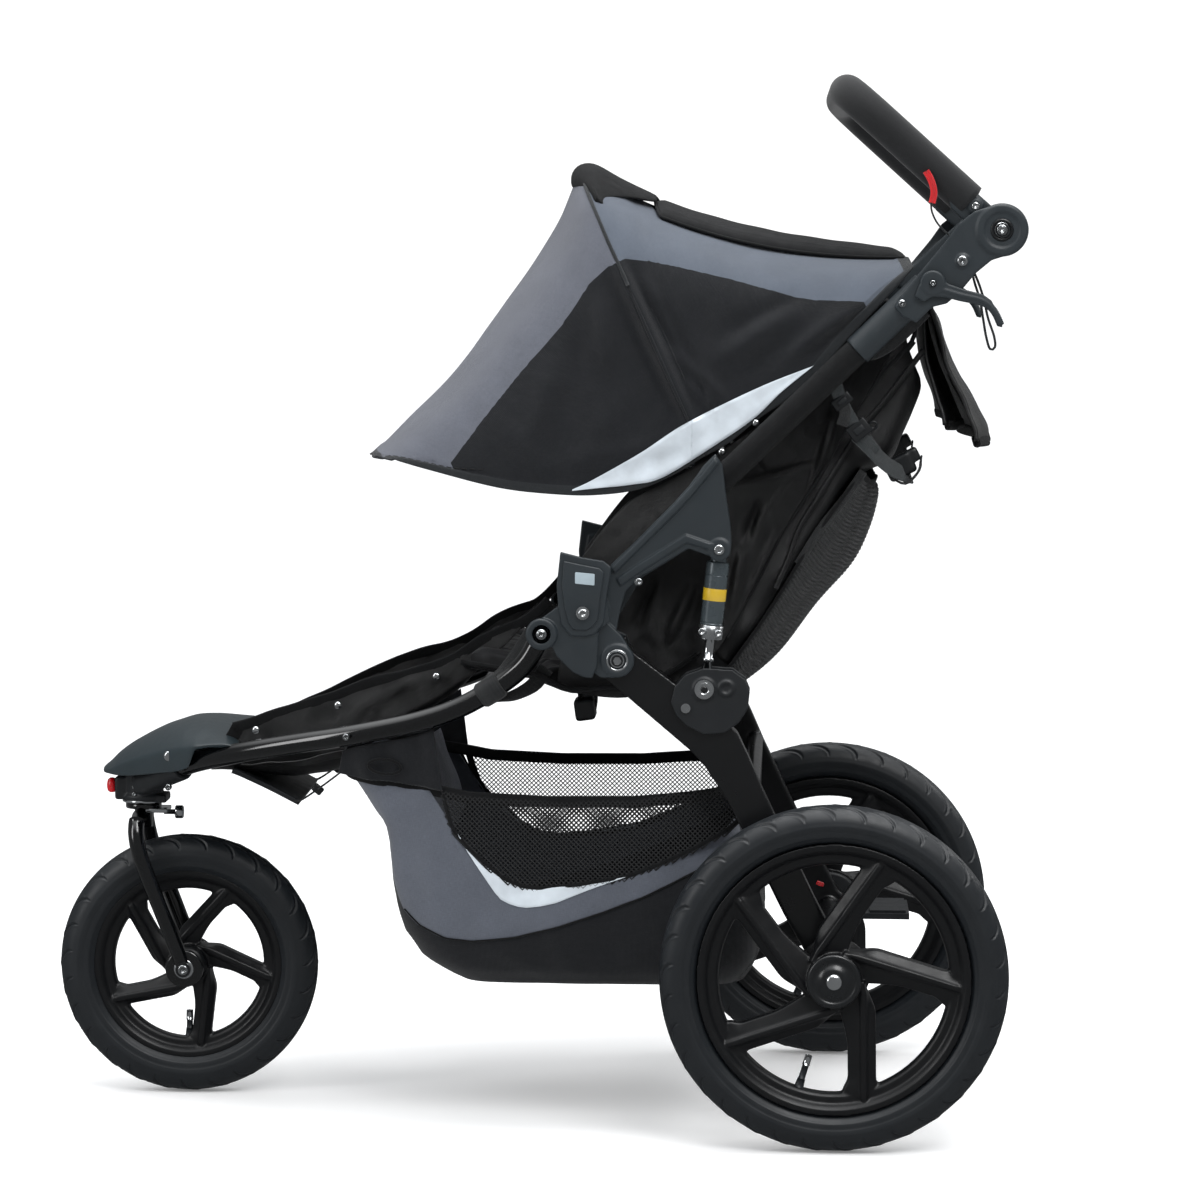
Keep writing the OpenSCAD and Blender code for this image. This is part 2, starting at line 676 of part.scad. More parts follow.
// ---------- release levers and latch plungers ----------
lever_outline = [[-84, 972], [-92, 990], [-104, 996], [-116, 986], [-134, 978], [-162, 970],
    [-176, 956], [-183, 936], [-172, 950], [-160, 959], [-134, 966], [-104, 968]];
module lever() difference() {
    plate(lever_outline, 246.2, 252.5);
    rod_y(lever_pivot, 240, 260, lever_pin_r + gap);
}
module release_lever_left() color(slate) lever();
module release_lever_right() color(slate) right() lever();

// a rod with a thin cup that runs inside the upright tube
module plunger() {
    rod(on_upright(17.2), on_upright(73), 4.5);
    difference() {
        rod(on_upright(72), on_upright(106), plug_r - 0.1);
        rod(on_upright(74.5), on_upright(107), plug_r - 1.7);
    }
}
module latch_plunger_left() color("silver") plunger();
module latch_plunger_right() color("silver") right() plunger();

// ---------- canopy bows ----------
// half: points as Y and distance from the pivot line, in a plane raised by an angle from +X
module bow(half, angle) {
    end_y = half[0][0];
    path = [for (p = half) at_y(canopy_pivot + p[1] * direction(angle), p[0])];
    difference() {
        union() {
            rod_chain(both_halves(path), 3.2, 0.7);
            both() translate(at_y(canopy_pivot, end_y - 3)) rotate([-90, 0, 0])
                rotate([0, 0, 100]) cylinder(h = 6, r = 10);
        }
        both() rod_y(canopy_pivot, 170, 199.9, canopy_pin_r + gap);
    }
}
module main_bow() color("silver")
    bow([[196, 8], [196, 205], [188, 275], [160, 330], [118, 358], [60, 372]], 62.5);
module front_bow() color("silver")
    bow([[188.5, 8], [188.5, 256], [166, 346], [110, 394], [50, 405]], 1.5);

// ---------- nodes ----------
module place() translate([-outline_shift, 0, 0]) children();
place() front_frame();
place() fender();
place() head_housing();
place() head_bearings();
place() hub_plates();
place() accessory_mounts();
place() fold_pins();
place() frame_bolts();
place() seat_base();
place() footwell();
place() foot_rest();
place() basket();
place() upright_tubes();
place() upright_feet();
place() top_castings();
place() casting_bolts();
place() canopy_mounts();
place() canopy();
place() seat_back();
place() back_pocket();
place() harness();
place() rear_castings();
place() carrier_pins();
place() shock_bodies();
place() shock_collars();
place() shock_rods();
place() rear_legs();
place() rear_axles();
place() shock_brackets();
place() shock_pins();
place() brake_housings();
place() brake_pedal();
place() brake_pin_left();
place() brake_pin_right();
place() rear_tyre_left();
place() rear_wheel_left();
place() rear_bearings_left();
place() hub_cap_left();
place() rear_valve_left();
place() rear_tyre_right();
place() rear_wheel_right();
place() rear_bearings_right();
place() hub_cap_right();
place() rear_valve_right();
place() fork();
place() front_axle();
place() front_tyre();
place() front_wheel();
place() front_bearings();
place() front_valve();
place() swivel_knob();
place() tracking_knob();
place() handlebar_tube();
place() foam_grip();
place() release_lever_left();
place() release_lever_right();
place() latch_plunger_left();
place() latch_plunger_right();
place() main_bow();
place() front_bow();
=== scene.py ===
"""A three-wheeled pushchair: frame, wheels, seat, canopy and basket, on a pale studio floor.

Points are millimetres: X runs forward from the rear axle, Y to the left, Z up from the ground.
The scene is in metres, with its origin ORIGIN_X in front of the rear axle.
Outlines and lines of two columns are (x, z) unless a comment says otherwise.
"""
import math

import bmesh
import bpy
import numpy as np
from mathutils import Matrix, Vector, noise
from mathutils.bvhtree import BVHTree

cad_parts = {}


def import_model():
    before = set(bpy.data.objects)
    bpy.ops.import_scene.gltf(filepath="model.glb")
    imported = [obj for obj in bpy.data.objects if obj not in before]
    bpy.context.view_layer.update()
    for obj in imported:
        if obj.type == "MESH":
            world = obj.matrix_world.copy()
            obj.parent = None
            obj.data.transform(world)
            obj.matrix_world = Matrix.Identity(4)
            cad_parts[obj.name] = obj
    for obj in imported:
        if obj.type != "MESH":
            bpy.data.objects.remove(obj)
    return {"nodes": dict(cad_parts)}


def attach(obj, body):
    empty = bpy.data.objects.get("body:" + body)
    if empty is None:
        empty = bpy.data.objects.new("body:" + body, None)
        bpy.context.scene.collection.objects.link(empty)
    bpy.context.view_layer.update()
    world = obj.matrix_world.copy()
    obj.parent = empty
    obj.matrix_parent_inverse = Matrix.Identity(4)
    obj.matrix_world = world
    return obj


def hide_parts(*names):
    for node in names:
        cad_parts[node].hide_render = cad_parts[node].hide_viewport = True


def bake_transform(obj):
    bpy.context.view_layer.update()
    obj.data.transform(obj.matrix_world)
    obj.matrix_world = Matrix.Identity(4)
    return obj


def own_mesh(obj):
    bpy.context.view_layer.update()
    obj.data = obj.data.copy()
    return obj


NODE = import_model()["nodes"]
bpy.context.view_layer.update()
scene = bpy.context.scene

ORIGIN_X = 360.5
SIGNS = (1, -1)                        # left, right
SIDES = (("left", 1), ("right", -1))
ALONG_Y = (0, 1, 0)

# joints of the frame
HUB = (288, 610)
LEG_PIVOT = (249, 555)
SHOCK_TOP = (134, 682)
SHOCK_FOOT = (150, 522)
HANDLE_PIVOT = (-181, 1045)
LEVER_PIVOT = (-104, 985)
UPRIGHT_TOP = (-97, 982)
TUBE_Y = 225                           # side tubes, legs and shocks lie this far out
REAR_R, FRONT_R = 199.0, 157.0
REAR_AXLE = (0, REAR_R)
FRONT_AXLE = (775, FRONT_R)


# ---------- points and lines ----------
def to_m(points):
    return (np.asarray(points, float) - (ORIGIN_X, 0.0, 0.0)) / 1000.0


def vec_m(x, y, z):
    return Vector(((x - ORIGIN_X) / 1000, y / 1000, z / 1000))


def level(points, y):
    """(x, z) points placed at one y."""
    return [(x, y, z) for x, z in points]


def to_side(points, sign):
    """Points of the left side, mirrored when sign is -1."""
    return [(x, y * sign, z) for x, y, z in points]


def spline(points, step=6.0):
    """A Catmull-Rom curve through the points, a point about every step."""
    p = np.asarray(points, float)
    p = np.vstack([2 * p[0] - p[1], p, 2 * p[-1] - p[-2]])
    out = []
    for i in range(1, len(p) - 2):
        count = max(2, int(np.linalg.norm(p[i + 1] - p[i]) / step))
        before, start, end, after = p[i - 1:i + 3]
        for k in range(count):
            t = k / count
            out.append(0.5 * (2 * start + (end - before) * t
                              + (2 * before - 5 * start + 4 * end - after) * t * t
                              + (3 * start - before - 3 * end + after) * t ** 3))
    out.append(p[-2])
    return np.array(out)


def rounded(points, radius, step=4.0):
    """A polyline with its corners rounded, as a bent tube's centre line."""
    p = [np.asarray(q, float) for q in points]
    out = [p[0]]
    for before, corner, after in zip(p, p[1:], p[2:]):
        back, ahead = before - corner, after - corner
        back_length, ahead_length = np.linalg.norm(back), np.linalg.norm(ahead)
        r = min(radius, 0.48 * back_length, 0.48 * ahead_length)
        start, end = corner + back / back_length * r, corner + ahead / ahead_length * r
        for t in np.linspace(0, 1, max(4, int(2 * r / step))):
            out.append((1 - t) ** 2 * start + 2 * t * (1 - t) * corner + t * t * end)
    out.append(p[-1])
    return np.array(out)


def lengths(line):
    """Distance along a line at each of its points."""
    return np.r_[0, np.cumsum(np.linalg.norm(np.diff(np.asarray(line, float), axis=0), axis=1))]


def at_share(line, share):
    """Point at a share (0 to 1) of a line's length."""
    line = np.asarray(line, float)
    d = lengths(line)
    s = np.asarray(share, float) * d[-1]
    return np.stack([np.interp(s, d, line[:, k]) for k in range(line.shape[1])], -1)


def interp(pairs, value):
    """Second column at a value of the first; the pairs may come in either order."""
    p = sorted(map(tuple, pairs))
    return np.interp(value, [q[0] for q in p], [q[1] for q in p])


def smoothstep(low, high, value):
    t = np.clip((np.asarray(value, float) - low) / (high - low), 0, 1)
    return t * t * (3 - 2 * t)


def signed_power(value, power):
    return np.sign(value) * np.abs(value) ** power


def circle(r, n=20):
    return [(r * math.cos(2 * math.pi * i / n), r * math.sin(2 * math.pi * i / n))
            for i in range(n)]


def strip(width, thickness, n=5):
    """A flat webbing section with rounded edges."""
    out = []
    for sign, first in ((1, -math.pi / 2), (-1, math.pi / 2)):
        for i in range(n + 1):
            a = first + math.pi * i / n
            out.append((sign * (width / 2 - thickness / 2) + thickness / 2 * math.cos(a),
                        thickness / 2 * math.sin(a)))
    return out


def crease(x, z, folds):
    """Sum of soft ridges along segments (x0, z0, x1, z1, height, width)."""
    out = np.zeros(np.broadcast(x, z).shape)
    for x0, z0, x1, z1, height, width in folds:
        dx, dz = x1 - x0, z1 - z0
        t = np.clip(((x - x0) * dx + (z - z0) * dz) / (dx * dx + dz * dz), 0, 1)
        d = np.hypot(x - x0 - t * dx, z - z0 - t * dz)
        out = out + height * np.exp(-(d / width) ** 2) * (0.35 + 0.65 * np.sin(math.pi * t) ** 0.7)
    return out


def soft_noise(points, scale, seed=0.0):
    """Smooth value in about -1..1 at each point."""
    q = points.reshape(-1, 3) / scale
    values = [noise.noise(Vector((x + seed, y - seed, z + 2 * seed))) for x, y, z in q]
    return np.array(values).reshape(points.shape[:-1]) * 1.6


# ---------- mesh helpers ----------
def link(obj):
    scene.collection.objects.link(obj)
    return obj


def make(points, faces, materials, slots=None, smooth=True, uv=None):
    mesh = bpy.data.meshes.new("part")
    mesh.from_pydata(to_m(points).tolist(), [], faces)
    for material in materials if isinstance(materials, list) else [materials]:
        mesh.materials.append(material)
    if slots is not None:
        mesh.polygons.foreach_set("material_index", np.asarray(slots, np.int32))
    mesh.polygons.foreach_set("use_smooth", [smooth] * len(mesh.polygons))
    if uv is not None:
        layer = mesh.uv_layers.new(name="UVMap")
        corner = np.zeros(len(mesh.loops), np.int32)
        mesh.loops.foreach_get("vertex_index", corner)
        values = np.asarray(uv, float)[corner] / 1000.0
        layer.data.foreach_set("uv", values.astype(np.float32).ravel())
    mesh.update()
    return link(bpy.data.objects.new("part", mesh))


def grid_faces(nu, nv, cu=False, cv=False, flip=False):
    """Quads of an nu by nv grid of points; cu and cv close it round either way."""
    out = []
    for i in range(nu if cu else nu - 1):
        for j in range(nv if cv else nv - 1):
            i2, j2 = (i + 1) % nu, (j + 1) % nv
            quad = (i * nv + j, i2 * nv + j, i2 * nv + j2, i * nv + j2)
            out.append((quad[0], quad[3], quad[2], quad[1]) if flip else quad)
    return out


def loft_faces(nu, nv, flip=False):
    """Faces of nu closed rings of nv points, capped at both ends."""
    first, last = tuple(range(nv)), tuple(range((nu - 1) * nv, nu * nv))
    caps = [first, last[::-1]] if flip else [first[::-1], last]
    return grid_faces(nu, nv, cv=True, flip=flip) + caps


def arc_uv(points):
    """UV in millimetres along a grid's two directions."""
    du = np.linalg.norm(np.diff(points, axis=0), axis=2)
    dv = np.linalg.norm(np.diff(points, axis=1), axis=2)
    u = np.r_[np.zeros((1, points.shape[1])), np.cumsum(du, 0)]
    v = np.c_[np.zeros(points.shape[0]), np.cumsum(dv, 1)]
    return np.stack([u, v], 2).reshape(-1, 2)


def grid(points, materials, cu=False, cv=False, slots=None, uv=True):
    faces = grid_faces(*points.shape[:2], cu, cv)
    return make(points.reshape(-1, 3), faces, materials, slots, uv=arc_uv(points) if uv else None)


def grid_normals(points):
    normals = np.cross(np.gradient(points, axis=0), np.gradient(points, axis=1))
    return normals / (np.linalg.norm(normals, axis=2)[..., None] + 1e-9)


def tidy(obj, merge=0.0, close=False, normals=True):
    """Merge points closer than merge metres, close open ends, turn the faces outwards."""
    work = bmesh.new()
    work.from_mesh(obj.data)
    if merge:
        bmesh.ops.remove_doubles(work, verts=work.verts, dist=merge)
    if close:
        bmesh.ops.holes_fill(work, edges=[e for e in work.edges if e.is_boundary])
        bmesh.ops.triangulate(work, faces=[f for f in work.faces if len(f.verts) > 4])
    if normals:
        bmesh.ops.recalc_face_normals(work, faces=work.faces)
    work.to_mesh(obj.data)
    work.free()
    return obj


def bake(obj):
    """Apply the modifiers."""
    graph = bpy.context.evaluated_depsgraph_get()
    mesh = bpy.data.meshes.new_from_object(obj.evaluated_get(graph), preserve_all_data_layers=True,
                                           depsgraph=graph)
    obj.modifiers.clear()
    old = obj.data
    obj.data = mesh
    bpy.data.meshes.remove(old)
    return obj


def mod(obj, kind, **settings):
    modifier = obj.modifiers.new(kind, kind)
    for key, value in settings.items():
        setattr(modifier, key, value)


def bevel_edges(obj, width, segments):
    mod(obj, "BEVEL", width=width / 1000, segments=segments, limit_method="ANGLE",
        angle_limit=0.6)


def shade(obj, smooth=True):
    obj.data.polygons.foreach_set("use_smooth", [smooth] * len(obj.data.polygons))
    return obj


def thick(obj, thickness):
    mod(obj, "SOLIDIFY", thickness=thickness / 1000, offset=0.0, use_quality_normals=True)
    return shade(bake(obj))


def sharp_by_angle(obj, degrees):
    work = bmesh.new()
    work.from_mesh(obj.data)
    for edge in work.edges:
        if len(edge.link_faces) == 2 and edge.calc_face_angle(0) > math.radians(degrees):
            edge.smooth = False
    work.to_mesh(obj.data)
    work.free()
    return obj


def set_material(obj, material):
    obj.data.materials.clear()
    obj.data.materials.append(material)


def join(objs):
    """Joins meshes into the first, keeping materials and UVs."""
    with bpy.context.temp_override(active_object=objs[0], object=objs[0], selected_objects=objs,
                                   selected_editable_objects=objs):
        bpy.ops.object.join()
    return objs[0]


def reskin(obj, material, voxel, rounds):
    mod(obj, "REMESH", mode="VOXEL", voxel_size=voxel / 1000, adaptivity=0.0)
    mod(obj, "SMOOTH", factor=0.5, iterations=rounds)
    bake(obj)
    set_material(obj, material)
    return shade(obj)


def soften(parts, material, voxel=1.3, rounds=6):
    """One moulded skin round the parts."""
    obj = join(parts) if len(parts) > 1 else parts[0]
    tidy(obj, merge=1e-6, normals=False)
    return reskin(obj, material, voxel * (1), rounds)


def mirror_y(obj):
    mesh = obj.data.copy()
    co = np.zeros(len(mesh.vertices) * 3, np.float32)
    mesh.vertices.foreach_get("co", co)
    co = co.reshape(-1, 3)
    co[:, 1] *= -1
    mesh.vertices.foreach_set("co", co.ravel())
    mesh.flip_normals()
    mesh.update()
    return link(bpy.data.objects.new("part", mesh))


def with_mirrors(objs):
    """Left shapes, each followed by its mirror image."""
    out = []
    for obj in objs:
        out += [obj, mirror_y(obj)]
    return out


def rename(obj, name):
    obj.name = name
    obj.data.name = name
    return obj


def on(obj, name, body, slot, *nodes):
    """Names a finished piece and fixes it to a moving body, in place of CAD nodes."""
    rename(obj, name)
    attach(obj, body)
    if nodes:
        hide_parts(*nodes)


def both(obj, name, body, slot, *nodes):
    """A left piece and its mirror image; body and nodes may hold {s}."""
    for piece, side in ((obj, "left"), (mirror_y(obj), "right")):
        on(piece, f"{name}_{side}", body.format(s=side), slot, *[n.format(s=side) for n in nodes])


# ---------- solids ----------
def frames(path, side=None):
    """Sideways and normal directions; without a side they are carried along untwisted."""
    tangent = np.gradient(path, axis=0)
    tangent /= np.linalg.norm(tangent, axis=1)[:, None] + 1e-12
    wanted = np.asarray(ALONG_Y if side is None else side, float)
    across, normal = np.zeros_like(path), np.zeros_like(path)
    for i, ahead in enumerate(tangent):
        if side is None and i:
            wanted = across[i - 1]
        s = wanted - ahead * (wanted @ ahead)
        if np.linalg.norm(s) < 1e-3:
            s = across[i - 1] if i else np.cross(ahead, (0.3, 0.5, 0.8))
        across[i] = s / np.linalg.norm(s)
        normal[i] = np.cross(ahead, across[i])
    return across, normal


def sweep(path, section, material, side=None, scale=None):
    """A closed section of (sideways, normal) points carried along a path."""
    path, sec = np.asarray(path, float), np.asarray(section, float)
    across, normal = frames(path, side)
    k = np.ones(len(path)) if scale is None else np.asarray(scale, float)
    rings = path[:, None, :] + (sec[None, :, 0:1] * across[:, None, :]
                                + sec[None, :, 1:2] * normal[:, None, :]) * k[:, None, None]
    nu, nv = rings.shape[:2]
    uv = np.stack([np.repeat(lengths(path), nv), np.tile(lengths(sec), nu)], 1)
    return make(rings.reshape(-1, 3), loft_faces(nu, nv, flip=True), material, uv=uv)


def cord(points, step, r, n, material, side=None):
    """A round cord of n sides along a smoothed line."""
    return sweep(spline(points, step), circle(r, n), material, side)


def strap(points, step, width, thickness, material, side=None):
    """Flat webbing along a smoothed line."""
    return sweep(spline(points, step), strip(width, thickness), material, side)


def tube(path, r, material, n=24, ends=0.0):
    """A round tube; ends is the length over which its tips are rounded."""
    path = np.asarray(path, float)
    scale = None
    if ends:
        d = lengths(path)
        e = np.minimum(d, d[-1] - d) / ends
        scale = np.where(e < 1, np.sqrt(np.clip(1 - (1 - e) ** 2, 0.02, 1)), 1)
    return sweep(path, circle(r, n), material, scale=scale)


def cross_tube(x, z, half, r, material, n=24):
    return tube([(x, -half, z), (x, 0, z), (x, half, z)], r, material, n)


def lathe(profile, centre, material, axis="Y", sign=1, n=64, hexes=(), closed=False):
    """profile: (radius, distance along the axis). Rings numbered in hexes are six-sided.
    centre: (x, z) for an axis along Y, or (x, y, z)."""
    if len(centre) == 2:
        centre = (centre[0], 0, centre[1])
    th = np.arange(n) / n * 2 * math.pi
    rings = np.zeros((len(profile), n, 3))
    for i, (r, h) in enumerate(profile):
        radii = np.full(n, float(r))
        if i in hexes:
            off_flat = (np.degrees(th) % 60) - 30
            radii = r * math.cos(math.pi / 6) / np.cos(np.radians(off_flat))
        columns = [radii * np.cos(th), radii * np.sin(th)]
        columns.insert("XYZ".index(axis), np.full(n, float(sign * h)))
        rings[i] = np.stack(columns, 1) + centre
    flip = (axis == "Y") == (sign > 0)
    if closed:
        faces = grid_faces(len(profile), n, cu=True, cv=True, flip=flip)
    else:
        faces = loft_faces(len(profile), n, flip)
    return tidy(make(rings.reshape(-1, 3), faces, material))


def loft(rings, material, uv=None):
    return tidy(make(rings.reshape(-1, 3), loft_faces(*rings.shape[:2]), material, uv=uv))


def plate(outline, y0, y1, material, bevel=0.0, segments=3):
    """An outline in the XZ plane given thickness from y0 to y1."""
    n = len(outline)
    y0, y1 = sorted((y0, y1))
    sides = [(i, i + n, (i + 1) % n + n, (i + 1) % n) for i in range(n)]
    faces = [tuple(range(n)), tuple(range(2 * n - 1, n - 1, -1))] + sides
    obj = tidy(make(level(outline, y0) + level(outline, y1), faces, material, smooth=False))
    if bevel:
        bevel_edges(obj, bevel, segments)
        sharp_by_angle(shade(bake(obj)), 50)
    return obj


def box(centre, size, material, bevel, turn=0):
    """A rounded box turned by degrees about Y."""
    x, y, z = [q / 2 for q in size]
    points = np.array([(i * x, j * y, k * z) for i in (-1, 1) for j in (-1, 1) for k in (-1, 1)])
    points = points @ np.array(Matrix.Rotation(math.radians(turn), 3, "Y")).T
    faces = [(0, 1, 3, 2), (4, 6, 7, 5), (0, 4, 5, 1), (2, 3, 7, 6), (0, 2, 6, 4), (1, 5, 7, 3)]
    obj = make(points + np.asarray(centre, float), faces, material, smooth=False)
    mod(obj, "BEVEL", width=bevel / 1000, segments=3)
    return shade(bake(obj))


def bolt(centre, y, r, material, sign=1, h=2.6, socket=0.5):
    """Domed screw head with a hexagon socket, facing outwards along Y."""
    bore = r * socket
    profile = [(r * 0.96, -1.0), (r, 0.2), (r * 0.985, h * 0.45), (r * 0.9, h * 0.8),
               (r * 0.74, h), (bore * 1.15, h * 1.02), (bore, h * 0.98),
               (bore * 0.98, h * 0.25), (0.01, h * 0.2)]
    return lathe(profile, (centre[0], y, centre[1]), material, sign=sign, n=36, hexes=(6, 7))


# ---------- materials ----------
def srgb(text):
    c = [int(text[i:i + 2], 16) / 255 for i in (1, 3, 5)]
    return tuple(v / 12.92 if v <= 0.04045 else ((v + 0.055) / 1.055) ** 2.4 for v in c) + (1.0,)


class Material:
    def __init__(self, name, base, rough, metal=0.0, coat=0.0, sheen=0.0, spec=0.5):
        self.material = bpy.data.materials.new(name)
        self.material.use_nodes = True
        self.tree = self.material.node_tree
        self.shader = self.tree.nodes["Principled BSDF"]
        self.base, self.rough = srgb(base), rough
        for key, value in (("Base Color", self.base), ("Roughness", rough), ("Metallic", metal),
                           ("Coat Weight", coat), ("Coat Roughness", 0.12),
                           ("Sheen Weight", sheen), ("Sheen Roughness", 0.5),
                           ("Specular IOR Level", spec)):
            self.shader.inputs[key].default_value = value
        self.normal = None
        self.place = None

    def node(self, kind, **inputs):
        node = self.tree.nodes.new("ShaderNode" + kind)
        for key, value in inputs.items():
            node.inputs[key.replace("_", " ")].default_value = value
        return node

    def join(self, output, node, key):
        self.tree.links.new(output, node.inputs[key])

    def coords(self, uv, stretch=(1, 1, 1)):
        if self.place is None:
            self.place = self.node("TexCoord")
        mapping = self.node("Mapping", Scale=stretch)
        self.join(self.place.outputs["UV" if uv else "Object"], mapping, "Vector")
        return mapping.outputs["Vector"]

    def noise(self, scale, detail=3.0, uv=False, stretch=(1, 1, 1)):
        node = self.node("TexNoise", Scale=scale, Detail=detail)
        self.join(self.coords(uv, stretch), node, "Vector")
        return node.outputs["Fac"]

    def threads(self, period, direction, uv):
        """Bands a period of millimetres apart; scale 314.16 repeats once a millimetre."""
        node = self.node("TexWave", Scale=314.16 / period, Distortion=0.6)
        node.bands_direction = direction
        self.join(self.coords(uv), node, "Vector")
        return node.outputs["Fac"]

    def math(self, operation, a, b):
        node = self.node("Math")
        node.operation = operation
        for i, value in enumerate((a, b)):
            if isinstance(value, float):
                node.inputs[i].default_value = value
            else:
                self.join(value, node, i)
        return node.outputs[0]

    def ramp(self, value, low, high):
        """Maps the middle half of a noise to low..high."""
        node = self.node("MapRange", From_Min=0.25, From_Max=0.75, To_Min=low, To_Max=high)
        self.join(value, node, "Value")
        return node.outputs[0]

    def tint(self, value, amount):
        """Varies the base colour's brightness by +-amount."""
        previous = self.shader.inputs["Base Color"].links
        node = self.node("HueSaturation")
        if previous:
            self.join(previous[0].from_socket, node, "Color")
        else:
            node.inputs["Color"].default_value = self.base
        self.join(self.ramp(value, 1 - amount, 1 + amount), node, "Value")
        self.join(node.outputs[0], self.shader, "Base Color")
        return self

    def vary_rough(self, value, amount):
        low, high = max(0.02, self.rough - amount), min(1, self.rough + amount)
        self.join(self.ramp(value, low, high), self.shader, "Roughness")
        return self

    def bump(self, value, depth):
        """Adds relief of a depth in millimetres."""
        node = self.node("Bump", Strength=1.0, Distance=depth / 1000)
        self.join(value, node, "Height")
        if self.normal is not None:
            self.join(self.normal, node, "Normal")
        self.normal = node.outputs[0]
        self.join(self.normal, self.shader, "Normal")
        return self


def paint(name, base, rough, grain, coat):
    m = Material(name, base, rough, coat=coat)
    m.vary_rough(m.noise(scale=38, detail=4), amount=0.05)
    m.tint(m.noise(scale=14, detail=2), amount=0.06)
    m.bump(m.noise(scale=900, detail=2), depth=grain)
    return m.material


def plastic(name, base, rough, grain=0.12, **looks):
    m = Material(name, base, rough, **looks)
    m.vary_rough(m.noise(scale=60, detail=4), amount=0.07)
    m.tint(m.noise(scale=22), amount=0.08)
    m.bump(m.noise(scale=1400), depth=grain)
    m.bump(m.noise(scale=90, detail=2), depth=0.08)
    return m.material


def metal(name, base, rough):
    m = Material(name, base, rough, metal=1.0)
    m.vary_rough(m.noise(scale=120, detail=4), amount=0.08)
    m.tint(m.noise(scale=30), amount=0.08)
    m.bump(m.noise(scale=700), depth=0.03)
    return m.material


def cloth(name, base, period, melange, uv=True, depth=0.22, sheen=0.15, rough=0.82, wrinkle=0.9,
          spec=0.25):
    """Plain weave: threads a period apart crossing, uneven yarn colour and soft creases."""
    m = Material(name, base, rough, sheen=sheen, spec=spec)
    warp = m.threads(period, "X", uv)
    weft = m.threads(period, "Y" if uv else "Z", uv)
    stretches = ((6, 0.7, 1), (0.7, 6, 1)) if uv else ((6, 1, 0.7), (0.7, 1, 6))
    yarn_a, yarn_b = [m.math("MULTIPLY", m.noise(scale=240, detail=2, uv=uv, stretch=s), 0.5)
                      for s in stretches]
    yarns = m.math("ADD", yarn_a, yarn_b)
    m.tint(yarns, amount=melange)
    m.tint(m.noise(scale=18, uv=uv), amount=0.08)
    m.vary_rough(m.noise(scale=50, uv=uv), amount=0.08)
    m.bump(m.noise(scale=26, detail=4, uv=uv), depth=wrinkle)
    m.bump(m.math("ADD", warp, weft), depth=depth)
    m.bump(yarns, depth=0.25)
    return m.material


def foam():
    m = Material("foam_grip_rubber", "#141517", rough=0.78, sheen=0.15, spec=0.3)
    m.tint(m.noise(scale=160), amount=0.12)
    m.bump(m.noise(scale=700, detail=4), depth=0.25)
    return m.material


def reflective_tape():
    m = Material("silver_reflective_tape", "#c2cad1", rough=0.42, metal=0.15, spec=0.5)
    m.vary_rough(m.noise(scale=70, detail=4), amount=0.12)
    m.tint(m.noise(scale=34, detail=5), amount=0.16)
    m.bump(m.noise(scale=55, detail=5), depth=0.5)
    return m.material


TUBE = paint("black_gloss_paint", "#040506", rough=0.14, grain=0.003, coat=0.8)
LEG = paint("black_satin_paint", "#090a0c", rough=0.3, grain=0.006, coat=0.3)
CAST = plastic("slate_moulded_plastic", "#23292d", rough=0.42, spec=0.45)
CAST_DARK = plastic("dark_moulded_plastic", "#16191c", rough=0.45)
NOSE = plastic("nose_cover_plastic", "#242d31", rough=0.34, grain=0.05, coat=0.15)
STEEL = metal("zinc_plated_steel", "#c9ccce", rough=0.26)
CHROME = metal("bright_steel", "#d6d9db", rough=0.16)
SHOCK = plastic("slate_anodised_shock", "#3f474b", rough=0.28, grain=0.03, spec=0.7, metal=0.35)
ROD = metal("polished_rod", "#cfd2d4", rough=0.14)
BLACK_STEEL = paint("blackened_steel", "#101214", rough=0.3, grain=0.03, coat=0.2)
RED = plastic("red_anodised", "#b01018", rough=0.3, grain=0.03, coat=0.3)
RED_WEB = cloth("red_webbing", "#c2141c", period=1.0, melange=0.1, wrinkle=0.1)
INSERT = plastic("grey_insert", "#8d9aa1", rough=0.45)
WHEEL = plastic("black_cast_wheel", "#0c0d0f", rough=0.36, grain=0.06, spec=0.4)
RUBBER = plastic("tyre_rubber", "#15191d", rough=0.46, grain=0.06, spec=0.5)
FOAM = foam()
GREY = cloth("canopy_grey_melange", "#595c65", period=1.3, melange=0.2, depth=0.2)
BLUE_GREY = cloth("canopy_blue_grey", "#565d68", period=1.3, melange=0.14)
BASKET_GREY = cloth("basket_grey_melange", "#4f535c", period=1.3, melange=0.22)
CANOPY_BLACK = cloth("canopy_black_panel", "#15171b", period=1.4, melange=0.25, depth=0.3,
                     sheen=0.1)
BASKET_BLACK = cloth("basket_black_fabric", "#111317", period=1.4, melange=0.3, sheen=0.1)
SEAT = cloth("seat_black_fabric", "#0f1013", period=1.2, uv=False, melange=0.2, rough=0.6,
             sheen=0.08, spec=0.4)
SEAT_SIDE = cloth("seat_side_fabric", "#07080a", period=1.2, melange=0.12, rough=0.38, sheen=0.0,
                  spec=0.7, wrinkle=0.22)
BIND = cloth("black_binding", "#0d0e10", period=0.9, melange=0.2, wrinkle=0.2, rough=0.75,
             sheen=0.04, spec=0.2)
HEM = cloth("canopy_hem_band", "#1c1f22", period=1.1, melange=0.2, wrinkle=0.3, rough=0.7)
TAPE = reflective_tape()
WEB = cloth("black_webbing", "#17191b", period=0.8, melange=0.25, depth=0.35, wrinkle=0.1,
            rough=0.7)
WEB_GREY = cloth("slate_webbing", "#2c3133", period=0.8, melange=0.2, depth=0.35, wrinkle=0.1,
                 rough=0.7)
